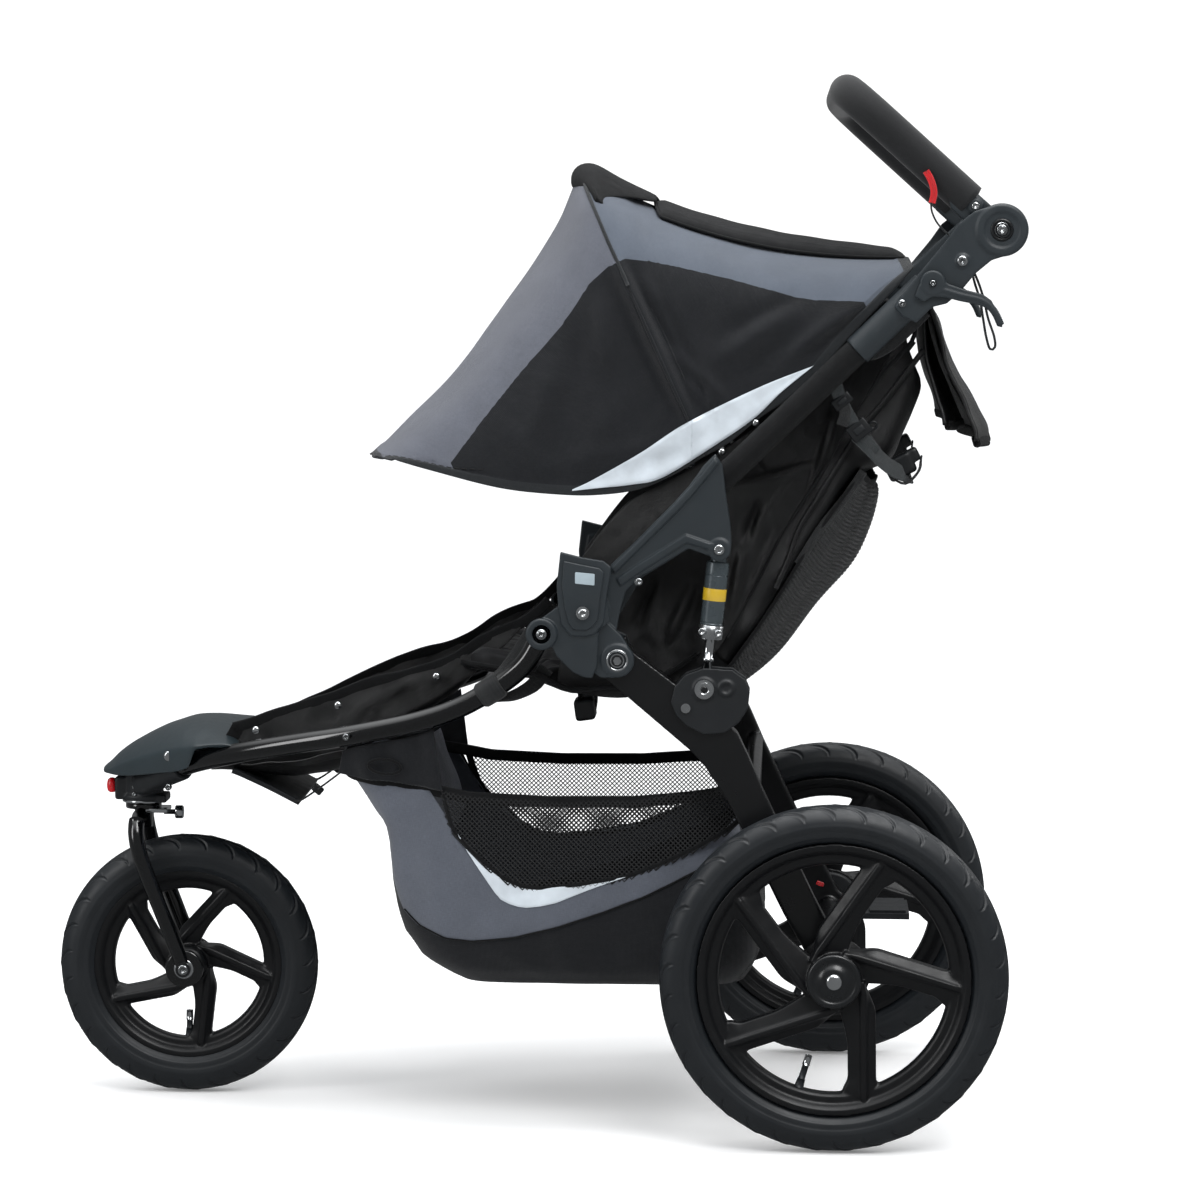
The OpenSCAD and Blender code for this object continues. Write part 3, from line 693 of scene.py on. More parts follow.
BUCKLE = plastic("buckle_plastic", "#141618", rough=0.34, grain=0.04)
NET = plastic("mesh_thread", "#17181a", rough=0.7)
# The far net is the same black mesh as the near one; its lighter grey is painted light on its inner
# face.
NET_PAINTED_LIGHT = plastic("painted_light_far_net", "#4c5055", rough=0.7)
POCKET = cloth("ribbed_elastic_mesh", "#17191b", period=1.0, melange=0.25, depth=0.3, wrinkle=0.2)
AMBER = plastic("amber_band", "#b3931c", rough=0.4, grain=0.03)
CORD = cloth("thin_cord", "#1c1f21", period=0.7, uv=False, melange=0.2, wrinkle=0.05)
THREAD = plastic("sewing_thread", "#0c0d0f", rough=0.8)
FLAP = cloth("window_flap_fabric", "#0e0f11", period=1.2, melange=0.2, rough=0.7, sheen=0.04,
             spec=0.2, wrinkle=0.4)


# ---------- tyres and wheels ----------
# ridges and grooves each side of the crown: (degrees from the middle, width, height)
TYRE_RIDGES = [(118, 4.0, 0.9), (104, 3.0, -0.7), (88, 3.5, 0.5), (14, 2.6, -1.5)]


def tyre(centre, radius, width, rim, cuts):
    """Air tyre with a flatter crown, bead ridges and thin curved cuts round the shoulders."""
    around, across = ((900, 84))
    half = width / 2
    section = np.linspace(math.radians(-152), math.radians(152), across)  # 0 at tread's middle
    th = np.arange(around) / around * 2 * math.pi
    tilt, turn = np.meshgrid(section, th)
    deg = np.abs(np.degrees(tilt))
    mm_per_degree = half * math.pi / 180
    r = half - 0.8 * np.exp(-(deg / 30) ** 2)
    for place, wide, high in TYRE_RIDGES:
        r += high * np.exp(-((deg - place) / wide) ** 2)
    # each cut starts along the crown's edge and turns down over the shoulder
    share = (turn * cuts / (2 * math.pi) + 0.5 * (tilt > 0)) % 1.0
    q = np.clip(share, 0, 0.985)
    root = np.sqrt(1 - q * q)
    curve = 21 + 54 * (1 - root)
    slope = 54 * q / root * mm_per_degree / (2 * math.pi * radius / cuts)
    d = np.abs(deg - curve) * mm_per_degree / np.sqrt(1 + slope ** 2)
    band = smoothstep(16, 21, deg) * (1 - smoothstep(66, 74, deg)) * smoothstep(0.02, 0.1, share)
    r -= 1.9 * np.exp(-(d / 1.25) ** 2) * band
    r += 0.5 * np.exp(-((d - 3.0) / 1.3) ** 2) * band
    # the scale beside each cut stands a little proud
    r += 0.7 * smoothstep(0, 9, curve - deg) * band * (1 - share)

    def ring(distance, y):
        return np.stack([centre[0] + distance * np.cos(turn[:, :distance.shape[1]]),
                         centre[1] + y, centre[2] + distance * np.sin(turn[:, :distance.shape[1]])],
                        2)
    outer = ring(radius - half + r * np.cos(tilt), r * np.sin(tilt))
    # two rings close the section inside the rim
    inner_y = half * np.sin(section[[-1, 0]]) * 0.8 * np.ones((around, 1))
    inner = ring(np.full((around, 2), rim + 1.0), inner_y)
    return grid(np.concatenate([outer, inner], 1), RUBBER, cu=True, cv=True, uv=False)


def blade(centre, angle, rim, inner, width, offset, grow, thickness):
    """One spoke: a straight blade passing the hub at an offset, with a crest on each face."""
    rings = []
    for distance in np.linspace(0, rim - 7, 48):
        t = distance / inner
        flare = 0.36 * smoothstep(0.86, 0.99, t)
        high = width * thickness * (1.78 - 0.72 * smoothstep(0.08, 0.62, t) + flare
                                    - 1.25 * smoothstep(1.0, 1.2, t))
        low = width * thickness * (0.16 + 0.68 * smoothstep(0.0, 0.30, t)
                                   + 0.30 * smoothstep(0.86, 0.99, t)
                                   - 1.0 * smoothstep(1.0, 1.2, t))
        high, low = max(high, 1.6), max(low, 1.6)
        crest = width * (1.06 - 0.14 * smoothstep(0.1, 0.9, t) - 0.30 * smoothstep(1.0, 1.15, t))
        edge = min(width * (0.44 - 0.06 * t), crest * 0.8)
        foot, top = min(4.6, low * 0.7), min(2.6, low * 0.5)
        outline = [(-low, -edge), (-low, edge), (-foot, crest * 0.8), (-top, crest), (top, crest),
                   (foot, crest * 0.8), (high, edge), (high, -edge), (top, -crest * 0.8),
                   (-top, -crest * 0.8)]
        shift = -(offset + grow * min(t, 1.1))
        rings.append([(shift + a, b, -distance) for a, b in outline])
    x, y, z = np.moveaxis(np.array(rings), 2, 0)
    cos, sin = math.cos(angle), math.sin(angle)
    return loft(np.stack([centre[0] + x * cos - z * sin, centre[1] + y,
                          centre[2] + x * sin + z * cos], 2), WHEEL)


def wheel(centre, rim, inner, width, offset, hub_r, hub_half, phase, grow=6, thickness=1.0,
          flange=False):
    """Cast wheel: deep rim, five leaning blades and a domed hub in one moulded skin.
    width is the rim's half width; phase turns the blades, in degrees."""
    half_rim = [(inner + 0.5, 0.42), (inner + 4, 0.6), (rim - 11, 0.64), (rim - 7.5, 0.9)]
    profile = [(r, -width * k) for r, k in half_rim]
    profile += [(rim - 4, -width - 1.4), (rim + 2.6, -width - 1.4), (rim - 4, -width * 0.55),
                (rim - 5, 0), (rim - 4, width * 0.55), (rim + 2.6, width + 1.4),
                (rim - 4, width + 1.4)]
    profile += [(r, width * k) for r, k in half_rim[::-1]] + [(inner - 1, 0)]
    parts = [lathe(profile, centre, WHEEL, n=180, closed=True)]
    hub = [(0.01, -1), (0.7, -1), (0.86, -0.96), (1, -0.8), (1.04, 0), (1, 0.8), (0.86, 0.96),
           (0.72, 1)]
    hub = [(hub_r * r if r > 0.01 else r, hub_half * h) for r, h in hub] + [(0.01, hub_half)]
    parts.append(lathe(hub, centre, WHEEL, n=96))
    for i in range(5):
        angle = math.radians(phase + i * 360 / 5)
        parts.append(blade(centre, angle, rim, inner, width, offset, grow, thickness))
    if flange:
        parts.append(lathe([(16, 18), (42, 30.6), (42, 35), (16, 35)], centre, WHEEL,
                           sign=-1 if centre[1] > 0 else 1, n=96, closed=True))
    obj = tidy(join(parts), merge=1e-7, normals=False)
    return reskin(obj, WHEEL, 1.4, 4)


def hub_cap(centre, sign):
    r, y = 31, 24.4
    ring = lathe([(r * 0.55, y - 2), (r - 3, y - 2), (r, y - 0.5), (r - 0.6, y + 2),
                  (r - 3.6, y + 2.9), (r - 6.5, y + 1.6), (r - 8, y + 0.4), (r - 10, y + 0.6),
                  (r * 0.56, y + 2.4), (r * 0.5, y + 4.2), (r * 0.38, y + 5.2), (0.01, y + 5.6)],
                 centre, BLACK_STEEL, sign=sign, n=72)
    dome = lathe([(r * 0.3, y + 4.5), (r * 0.3, y + 5.7), (r * 0.26, y + 7.2),
                  (r * 0.16, y + 8.4), (0.01, y + 8.9)], centre, CHROME, sign=sign, n=48)
    return join([ring, dome])


def valve_stem(centre, rim, angle, length):
    """Valve pointing from the rim to the hub; angle in degrees from +X towards +Z."""
    out = np.array([math.cos(math.radians(angle)), 0, math.sin(math.radians(angle))])
    # (start radius, end radius, start and end distance from the hub, material)
    pieces = [(5.6, 4.4, rim - 1, rim - 12, RUBBER),
              (3.9, 3.7, rim - 12, rim - length + 12, RUBBER),
              (4.3, 4.1, rim - length + 12, rim - length, CHROME)]
    return join([sweep([np.asarray(centre, float) + out * d for d in (a, (a + b) / 2, b)],
                       circle(1, 20), material, side=ALONG_Y, scale=[r0, (r0 + r1) / 2, r1])
                 for r0, r1, a, b, material in pieces])


# Bright chrome ticks on the rim's inner lip are painted glints: they stand for highlights on small
# dark moulded notches.
def notch_glint_tick(centre, sign, angle):
    x = centre[0] + 138 * math.cos(math.radians(angle))
    z = centre[2] + 138 * math.sin(math.radians(angle))
    return box((x, centre[1] + 10.6 * sign, z), (5.4, 1.6, 2.0), CHROME, 0.3, turn=-angle)


for side, sign in SIDES:
    centre, body = (0, 287 * sign, REAR_R), "rear_wheel_" + side
    on(tyre(centre, REAR_R, width=47, rim=REAR_R - 46, cuts=34), f"rear_tyre_{side}_air", body,
       "tyre", "rear_tyre_" + side)
    cast = wheel(centre, rim=REAR_R - 46, inner=REAR_R - 68, width=17, offset=33, hub_r=30,
                 hub_half=24, phase=1.6, flange=True)
    on(cast, f"rear_wheel_{side}_cast", body, "wheel", "rear_wheel_" + side)
    on(hub_cap(centre, sign), f"hub_cap_{side}_ring", body, "cap", "hub_cap_" + side)
    on(valve_stem(centre, rim=REAR_R - 66, angle=-73, length=40), f"rear_valve_{side}_stem", body,
       "valve", "rear_valve_" + side)
    # five painted glint ticks on each rear rim, in place of lit notches
    on(join([notch_glint_tick(centre, sign, a) for a in (184, 112, 40, -32, -104)]), "rim_notch_glints_" + side,
       body, "cap")
centre = (FRONT_AXLE[0], 0, FRONT_R)
on(tyre(centre, FRONT_R, width=50, rim=FRONT_R - 45, cuts=27), "front_tyre_air", "front_wheel",
   "tyre", "front_tyre")
cast = wheel(centre, rim=FRONT_R - 45, inner=FRONT_R - 66, width=16, offset=26, hub_r=23,
             hub_half=26, phase=9, grow=4, thickness=0.76)
on(cast, "front_wheel_cast", "front_wheel", "wheel", "front_wheel")
on(valve_stem(centre, rim=FRONT_R - 64, angle=-90, length=34), "front_valve_stem", "front_wheel",
   "valve", "front_valve")

# ---------- front frame ----------
# centre line of the left tube: (x, y, z)
FRONT_TUBE = spline([(335, 225, 585), (362, 222, 541), (420, 218, 501), (478, 210, 478),
                     (559, 195, 459), (625, 172, 446), (697, 140, 430), (762, 93, 410),
                     (812, 42, 384)], 7)
STUB = (335, 585)
CROSS_BACK, CROSS_FRONT = (404, 511), (770, 408)


def front_frame():
    tubes = with_mirrors([tube(FRONT_TUBE, 12, TUBE, n=28)])
    stub = [(STUB[0], y, STUB[1]) for y in (189, 225, 262)]
    tubes += with_mirrors([tube(stub, 10.5, TUBE, n=28)])
    tubes += [cross_tube(*CROSS_BACK, 217, 9, TUBE), cross_tube(*CROSS_FRONT, 93, 8, TUBE)]
    on(join(tubes), "front_frame_bent_tubes", "root", "tube_black", "front_frame")
    beads = [lathe([(r - 0.6, -4), (r + 0.9, -1.6), (r + 1.1, 0.8), (r - 0.4, 4)],
                   (x, sign * y, z), TUBE, n=28, closed=True)
             for sign in SIGNS
             for (x, z), y, r in ((CROSS_BACK, 208, 10.2), (CROSS_FRONT, 84, 9.2))]
    on(join(beads), "frame_weld_beads", "root", "tube_black")


# ---------- fork ----------
FORK_LEG = [(833, 36, 334), (833, 44, 322), (829, 49, 300), (818, 50, 268), (800, 48, 222),
            (783, 46.5, 178), (776, 46, 160)]
STEER_AXIS = (830, 0, 0)
STEERER = [(0.01, 322), (11, 322), (11, 345), (21, 345.2), (21.6, 346.4), (21.6, 350.6),
           (20.6, 351.6), (11, 351.6), (11, 398), (0.01, 398)]
DROPOUT = [(5.2, -4), (21, -4), (22.6, -2.8), (23, 0), (22.4, 2.6), (20.6, 3.8), (12, 4.2),
           (5.2, 4.2)]


def fork():
    parts = [tube(spline(to_side(FORK_LEG, s), 5), 9.6, TUBE, n=26) for s in SIGNS]
    parts.append(tube([(833, -40, 331), (833, 0, 332), (833, 40, 331)], 12, TUBE, n=28, ends=8))
    parts.append(lathe(STEERER, STEER_AXIS, TUBE, axis="Z", n=48))
    parts += [lathe(DROPOUT, (FRONT_AXLE[0], 46 * s, FRONT_R), TUBE, sign=s, n=56, closed=True)
              for s in SIGNS]
    on(join(parts), "fork_bent_legs", "fork", "tube_black", "fork")
    disc = [(12, 352.2), (24, 352.4), (25.5, 353.2), (25.5, 355.2), (24, 356), (12, 356)]
    on(lathe(disc, STEER_AXIS, CHROME, axis="Z", n=56, closed=True), "swivel_plate_disc", "fork",
       "steel")
    on(box((812, 0, 343.5), (26, 38, 5), CHROME, 1.2), "fork_tongue", "fork", "steel")
    bolts = []
    for s in SIGNS:
        bolts.append(bolt(FRONT_AXLE, 50.2 * s, 7.5, CHROME, sign=s, h=5))
        bolts.append(lathe([(5, 50), (11.5, 50), (12, 50.6), (11.5, 51.4), (5, 51.6)], FRONT_AXLE,
                           STEEL, sign=s, n=40, closed=True))
        bolts.append(lathe([(5, 26.8), (8, 26.8), (8, 42), (5, 42)], FRONT_AXLE, STEEL, sign=s,
                           n=32, closed=True))
    on(join(bolts), "front_axle_bolts", "fork", "steel")


# ---------- handlebar ----------
HANDLE_TILT = math.radians(41.8)
HANDLE_ARM = [(-22, -14), (-6, -25), (14, -22), (24, -6), (57, 24), (60, 34), (48, 48), (38, 50),
              (6, 22), (-16, 14)]      # (x, z) from the pivot


def on_handle(distance, y):
    """Point a distance up the handlebar's plane from its pivot."""
    return np.array([HANDLE_PIVOT[0] + math.cos(HANDLE_TILT) * distance, y,
                     HANDLE_PIVOT[1] + math.sin(HANDLE_TILT) * distance])


def handle_line(start, end, radius):
    return rounded([on_handle(start, TUBE_Y), on_handle(end, TUBE_Y), on_handle(end, -TUBE_Y),
                    on_handle(start, -TUBE_Y)], radius)


def handlebar():
    bar = tube(handle_line(12, 240, 64), 11.4, TUBE, n=28)
    line = handle_line(43, 234, 60)
    line = at_share(line, np.linspace(0, 1, max(8, int(lengths(line)[-1] / 5.0))))
    on(tube(line, 20.0, FOAM, n=36, ends=3), "foam_grip_sleeve", "handlebar", "foam", "foam_grip")
    x, _, z = on_handle(40, 0)
    arms = []
    for s in SIGNS:
        outline = [(HANDLE_PIVOT[0] + a, HANDLE_PIVOT[1] + b) for a, b in HANDLE_ARM]
        arms.append(plate(outline, 214 * s, 238 * s, CAST))
        arms.append(lathe([(0.01, 212.5), (22, 212.5), (24.5, 215), (24.5, 235), (22, 237.8),
                           (0.01, 237.8)], HANDLE_PIVOT, CAST, sign=s))
        arms.append(lathe([(0.01, 238), (9, 238), (9, 240.5), (7.5, 241.6), (0.01, 241.6)],
                          (x, z), CAST, sign=s, n=32))
    on(bar, "handlebar_bent_tube", "handlebar", "tube_black", "handlebar_tube")
    on(soften(arms, CAST, 1.2, 7), "handlebar_end_castings", "handlebar", "casting")
    on(join([bolt((x, z), 241.5 * s, 4.6, CHROME, sign=s, h=1.8) for s in SIGNS]),
       "handlebar_bolts", "handlebar", "steel")


front_frame()
fork()
handlebar()


# ---------- hub plates ----------
HUB_FRONT = [(314, 679), (290, 673), (265, 669), (256, 662), (261, 629), (265, 598), (273, 587),
             (284, 583), (302, 584), (312, 596), (316, 616), (318, 640)]
HUB_LUG = [(258, 600), (264, 660), (275, 664), (305, 660), (312, 620), (350, 592), (352, 578),
           (340, 570), (318, 573), (296, 580), (276, 584)]
HUB_LOWER = [(321, 614), (328, 590), (327, 578), (318, 560), (300, 542), (288, 536), (277, 535),
             (272, 548), (270, 590), (290, 616)]
HUB_INNER = [(300, 636), (276, 636), (266, 610), (276, 590), (325, 571), (346, 572), (350, 588),
             (318, 610)]
HUB_PANEL = [(310, 669), (291, 665), (269, 661), (264, 656), (268, 629), (271, 602), (277, 594),
             (285, 590), (299, 591), (305, 600), (309, 618), (312, 640)]
HUB_INSERT = [(275.6, 641.4), (296.4, 643.4), (297, 644.2), (297, 655.6), (296, 656.4),
              (275.4, 654.6), (274.6, 653.8), (274.8, 642.2)]


def hub_plates():
    shapes = [plate(HUB_FRONT, 255.6, 262.0, CAST), plate(HUB_LUG, 254.5, 258.6, CAST),
              plate(HUB_LOWER, 254.5, 258.2, CAST),
              lathe([(10.5, 253.5), (17, 253.5), (18, 255), (18, 262), (16, 263.6),
                     (10.5, 263.6)], STUB, CAST, n=56, closed=True),
              plate(HUB_INNER, 190, 197, CAST)]
    on(soften(with_mirrors(shapes), CAST, 1.1, 5), "hub_plates_moulded", "root", "casting",
       "hub_plates")
    # raised panel with a bevelled border on the plate's face
    both(plate(HUB_PANEL, 261.2, 264.3, CAST, bevel=1.4, segments=4), "hub_face_panel", "root",
         "casting")
    both(plate(HUB_INSERT, 263.6, 265.4, INSERT, bevel=0.7), "accessory_mount_insert", "root",
         "insert", "accessory_mounts")


# ---------- rear castings ----------
REAR_ARM = [(262, 648), (257, 664), (232, 688), (187, 734), (169, 754), (152, 778), (139, 791),
            (131, 778), (126, 738), (122, 715), (120, 690), (122, 675), (135, 671), (169, 683),
            (224, 650), (240, 634), (246, 612), (250, 590), (262, 600)]
REAR_LOBE = [(262, 600), (244, 583), (237, 572), (232, 562), (232, 550), (238, 541), (252, 535),
             (268, 535), (282, 545), (292, 560), (303, 585), (310, 600), (300, 622), (280, 632)]
REAR_UPPER_RAIL = [(258, 660), (231, 687), (187, 731), (168, 752), (140, 786), (135, 781),
                   (163, 746), (183, 724), (228, 679), (252, 655)]
REAR_LOWER_RAIL = [(250, 648), (226, 665), (172, 699), (140, 688), (140, 681), (171, 690),
                   (222, 657), (246, 640)]
REAR_INNER_ARM = [(258, 640), (250, 662), (160, 705), (130, 700), (122, 690), (122, 672),
                  (135, 668), (169, 680), (224, 645), (250, 600)]
REAR_INNER_LOBE = [(262, 590), (240, 580), (233, 558), (240, 545), (252, 537), (268, 538),
                   (283, 554), (287, 572), (300, 590), (300, 612), (280, 620)]


def rear_castings():
    shapes = [plate(REAR_ARM, 244, 249.5, CAST), plate(REAR_LOBE, 244, 252.5, CAST),
              plate(REAR_UPPER_RAIL, 248, 254, CAST), plate(REAR_LOWER_RAIL, 248, 252.5, CAST),
              lathe([(0.01, 244), (27.5, 244), (30, 246), (30, 250), (27, 253), (0.01, 253)],
                    HUB, CAST, n=72),
              lathe([(0.01, 243.5), (18, 243.5), (19.5, 245), (19.5, 253), (17.5, 254.6),
                     (13, 254.8), (11.5, 253.2), (0.01, 253.2)], LEG_PIVOT, CAST, n=72),
              lathe([(0.01, 243), (12, 243), (13, 244.5), (13, 250.5), (11.5, 251.6),
                     (0.01, 251.6)], SHOCK_TOP, CAST, n=56),
              plate(REAR_INNER_ARM, 201, 206, CAST), plate(REAR_INNER_LOBE, 201, 206, CAST)]
    on(soften(with_mirrors(shapes), CAST, 1.15, 5), "rear_castings_moulded", "rear_carrier",
       "casting", "rear_castings")


# ---------- top castings and release levers ----------
TOP_OUTER = [(-70, 948), (-62, 958), (-72, 975), (-92, 1000), (-118, 1032), (-132, 1052),
             (-150, 1066), (-178, 1075), (-200, 1068), (-211, 1048), (-206, 1030), (-192, 1018),
             (-170, 1011), (-152, 996), (-134, 974), (-120, 962), (-104, 958), (-86, 940)]
TOP_INNER = [(-88, 966), (-78, 976), (-96, 1000), (-122, 1026), (-160, 1062), (-196, 1062),
             (-206, 1036), (-190, 1022), (-168, 1016), (-130, 990), (-112, 974)]
TOP_CORE = [(-98.5, 985), (-91, 996), (-124, 1026), (-146, 1036), (-158, 1024), (-142, 1000),
            (-116, 978), (-103, 977)]
TOP_PIN = (-137, 1010)
LEVER = [(-84, 970), (-88, 982), (-94, 992), (-104, 998), (-113, 991), (-122, 984), (-140, 978),
         (-160, 973), (-170, 966), (-177, 952), (-183, 936), (-180, 936), (-172, 950),
         (-163, 958), (-150, 962), (-134, 965), (-118, 969), (-104, 970), (-94, 964)]


def top_castings():
    shapes = [plate(TOP_OUTER, 240, 247, CAST), plate(TOP_INNER, 205.5, 211, CAST),
              lathe([(0.01, 240), (27, 240), (30, 242.4), (30, 247.5), (27.5, 249.6),
                     (21, 249.8), (19, 248.2), (0.01, 248.2)], HANDLE_PIVOT, CAST, n=80),
              lathe([(0.01, 205), (24, 205), (27, 207), (27, 211.5), (0.01, 211.5)],
                    HANDLE_PIVOT, CAST, n=80),
              lathe([(0.01, 246), (8, 246), (8, 248), (6.5, 248.8), (0.01, 248.8)], TOP_PIN,
                    CAST, n=48),
              cord(level([UPRIGHT_TOP, (-60, 946), (-20, 907)], TUBE_Y), 8, 17.2, 40, CAST,
                   ALONG_Y),
              plate(TOP_CORE, 210.5, 240.5, CAST)]
    on(soften(with_mirrors(shapes), CAST, 1.2, 5), "top_castings_moulded", "upright", "casting",
       "top_castings")


def release_levers():
    rib = level([(-110, 979), (-136, 971.5), (-160, 965.5), (-173, 954), (-181, 938)], 250)
    parts = [plate(LEVER, 246.4, 253.4, CAST),
             lathe([(0.01, 246), (13, 246), (14.5, 247.4), (14.5, 252.8), (13, 254.2),
                    (0.01, 254.4)], LEVER_PIVOT, CAST, n=56),
             cord(rib, 4, 4.4, 16, CAST, ALONG_Y)]
    both(soften(parts, CAST, 1.0, 6), "release_lever_moulded", "release_lever_{s}", "casting",
         "release_lever_{s}")


# ---------- uprights ----------
def uprights():
    feet = link(bpy.data.objects.new("part", NODE["upright_feet"].data.copy()))
    on(soften([feet], CAST_DARK, 1.2, 3), "upright_feet_moulded", "upright", "casting",
       "upright_feet")
    tubes, sleeves = [], []
    lean = math.radians(135.99)
    for s in SIGNS:
        top = np.array([UPRIGHT_TOP[0], TUBE_Y * s, UPRIGHT_TOP[1]])
        foot = (np.array([HUB[0], TUBE_Y * s, HUB[1]])
                + np.array([math.cos(lean), 0, math.sin(lean)]) * 30)
        shares = (0.13, 0.2, 0.35, 0.5, 0.65, 0.8, 0.92)
        sleeves.append(cord([foot + (top - foot) * q for q in shares], 6, 14.9, 40, BIND,
                            ALONG_Y))
        tubes.append(tube([foot, foot * 0.5 + top * 0.5, top], 14, TUBE, n=32))
    on(join(tubes), "upright_round_tubes", "upright", "tube_black", "upright_tubes")
    sleeve = join(sleeves)
    for vertex in sleeve.data.vertices:
        x, y, z = np.array(vertex.co) * 1000 + [ORIGIN_X, 0, 0]
        wave = (noise.noise(Vector((x * 0.035, y * 0.05, z * 0.035))) * 1.1
                + noise.noise(Vector((x * 0.12, y * 0.1, z * 0.12))) * 0.45)
        share = 1 if abs(abs(y) - TUBE_Y) > 4 else 0.3
        vertex.co += Vector((0, math.copysign(wave, y) / 1000, 0)) * share
    on(shade(sleeve), "upright_cloth_sleeves", "upright", "seat_fabric")


# ---------- head housing and knobs ----------
def head_housing():
    parts = [lathe([(12.5, 353.6), (22, 353.6), (24, 355.4), (24, 395), (22, 397), (12.5, 397)],
                   STEER_AXIS, CAST_DARK, axis="Z", closed=True),
             box((854, 0, 370), (18, 32, 28), CAST_DARK, 3),
             box((807, 0, 358), (14, 40, 10), CAST_DARK, 2),
             lathe([(0.01, 357), (26, 357), (26.5, 358), (26.5, 361), (25.5, 362), (0.01, 362)],
                   STEER_AXIS, CAST_DARK, axis="Z")]
    socket = [(770, 86, 405), (795, 60, 393), (815, 38, 383), (829, 20, 378)]
    parts += [cord(to_side(socket, s), 5, 14.6, 30, CAST_DARK, (0, 0, 1)) for s in SIGNS]
    on(soften(parts, CAST_DARK, 1.3, 4), "head_housing_moulded", "root", "casting",
       "head_housing")
    screws = [bolt((838, z), 24.2 * s, 2.6, STEEL, sign=s, h=1.2) for z in (364, 373)
              for s in SIGNS]
    on(join(screws), "head_housing_screws", "root", "steel")
    knob = [(0.01, 850), (4.8, 850), (4.8, 863), (6.2, 863.6), (8.6, 865), (9.2, 868),
            (8.9, 871), (7, 873.2), (4.5, 874), (0.01, 874.3)]
    on(lathe(knob, (0, 0, 372), RED, axis="X", n=40), "swivel_lock_knob", "swivel_knob", "red",
       "swivel_knob")
    dial = [(0.01, 781.6), (6.6, 781.8), (8, 783), (8, 790.6), (7, 791.6), (3.2, 792),
            (3, 805.5), (0.01, 805.6)]
    on(lathe(dial, (0, 0, 340), CHROME, axis="X", n=40), "tracking_dial", "tracking_knob",
       "steel", "tracking_knob")


# ---------- rear legs ----------
LEG_OUTLINE = [(240, 582), (236, 566), (131, 488), (112, 472), (97, 440), (83, 408), (22, 282),
               (-19, 206), (-16, 190), (0, 180), (14, 186), (19, 196), (58, 264), (122, 392),
               (150, 434), (164, 449), (266, 535), (264, 556)]


def rear_legs():
    leg = [plate(LEG_OUTLINE, 213.5, 236.5, LEG),
           lathe([(0.01, 213), (22, 213), (24, 215), (24, 235), (22, 237), (0.01, 237)],
                 REAR_AXLE, LEG, n=72),
           lathe([(0.01, 213.5), (19, 213.5), (20, 215), (20, 235), (19, 236.5),
                  (0.01, 236.5)], LEG_PIVOT, LEG, n=72)]
    parts = with_mirrors(leg)
    parts += [cross_tube(0, REAR_R, 214, 12, LEG, n=32), cross_tube(93, 409, 214, 9, LEG, n=28)]
    lug = [(-39, REAR_R + 18), (-37, REAR_R + 5), (0, REAR_R - 9), (8, REAR_R + 8)]
    parts += [plate(lug, y, y + 6, LEG) for y in (-177, -61)]
    parts.append(tube([(-30, y, REAR_R + 12) for y in (-177, -116, -55)], 4, LEG))
    on(soften(parts, LEG, 1.7, 7), "rear_legs_rounded", "swing_arm", "tube_black", "rear_legs")


# ---------- shock absorbers ----------
SHOCK_AXIS = np.subtract(SHOCK_FOOT, SHOCK_TOP).astype(float)
SHOCK_LENGTH = np.linalg.norm(SHOCK_AXIS)
SHOCK_AXIS /= SHOCK_LENGTH
# round pieces as (radius, distance from the top pin)
SHOCK_BODY = [(8.5, 8), (9, 15), (12.2, 16), (13, 17.5), (13, 30), (12.5, 30.8), (13, 31.6),
              (13, 84), (12.4, 85), (12.4, 86), (13, 87), (13, 88)]
SHOCK_BAND = [(13.0, 46), (13.3, 46.4), (13.3, 59.6), (13.0, 60)]
SHOCK_COLLAR = [(13.2, 88.2), (14.2, 88.8), (14.2, 103.2), (13.2, 104)]
SHOCK_ROD = [(5.5, 100), (5.5, 126), (7.2, 126.6), (7.2, 130), (5.6, 130.6),
             (5.5, SHOCK_LENGTH - 6)]
BRACKET = [(182, 492), (188, 506), (184, 524), (172, 538), (150, 546), (118, 544), (104, 534),
           (98, 520), (100, 500), (110, 484), (126, 472), (150, 470), (170, 480)]


def shock_piece(profile, y, material):
    path = [(SHOCK_TOP[0] + SHOCK_AXIS[0] * d, y, SHOCK_TOP[1] + SHOCK_AXIS[1] * d)
            for _, d in profile]
    return sweep(path, circle(1, 48), material, side=ALONG_Y, scale=[r for r, _ in profile])


def shock(side, sign):
    y = TUBE_Y * sign
    body = shock_piece(SHOCK_BODY, y, SHOCK)
    eye = lathe([(4.1, 213), (11, 213), (12, 214.5), (12, 235.5), (11, 237), (4.1, 237)],
                SHOCK_TOP, SHOCK, sign=sign, n=48, closed=True)
    sharp_by_angle(body, 30)
    on(join([body, eye]), "shock_body_" + side, "shock_body", "shock", "shock_bodies")
    on(shock_piece(SHOCK_BAND, y, AMBER), "shock_amber_band_" + side, "shock_body", "shock")
    collar = [shock_piece(SHOCK_COLLAR, y, STEEL)]
    for across in (-9.5, 9.5):
        place = (SHOCK_TOP + SHOCK_AXIS * 96
                 + np.array([SHOCK_AXIS[1], -SHOCK_AXIS[0]]) * across)
        collar.append(lathe([(0.01, 232), (4.4, 232), (4.4, 239.4), (3.6, 240.2), (2.2, 240.2),
                             (2.0, 238.8), (0.01, 238.6)], place, CHROME, sign=sign, n=28))
    on(join(collar), "shock_collar_" + side, "shock_body", "steel", "shock_collars")
    rod_eye = [(4.6, 219.6), (9, 219.6), (9.5, 220.4), (9.5, 229.6), (9, 230.4), (4.6, 230.4)]
    rod = [shock_piece(SHOCK_ROD, y, ROD),
           lathe(rod_eye, SHOCK_FOOT, ROD, sign=sign, n=40, closed=True)]
    on(join(rod), "shock_rod_" + side, "shock_rod", "rod", "shock_rods")


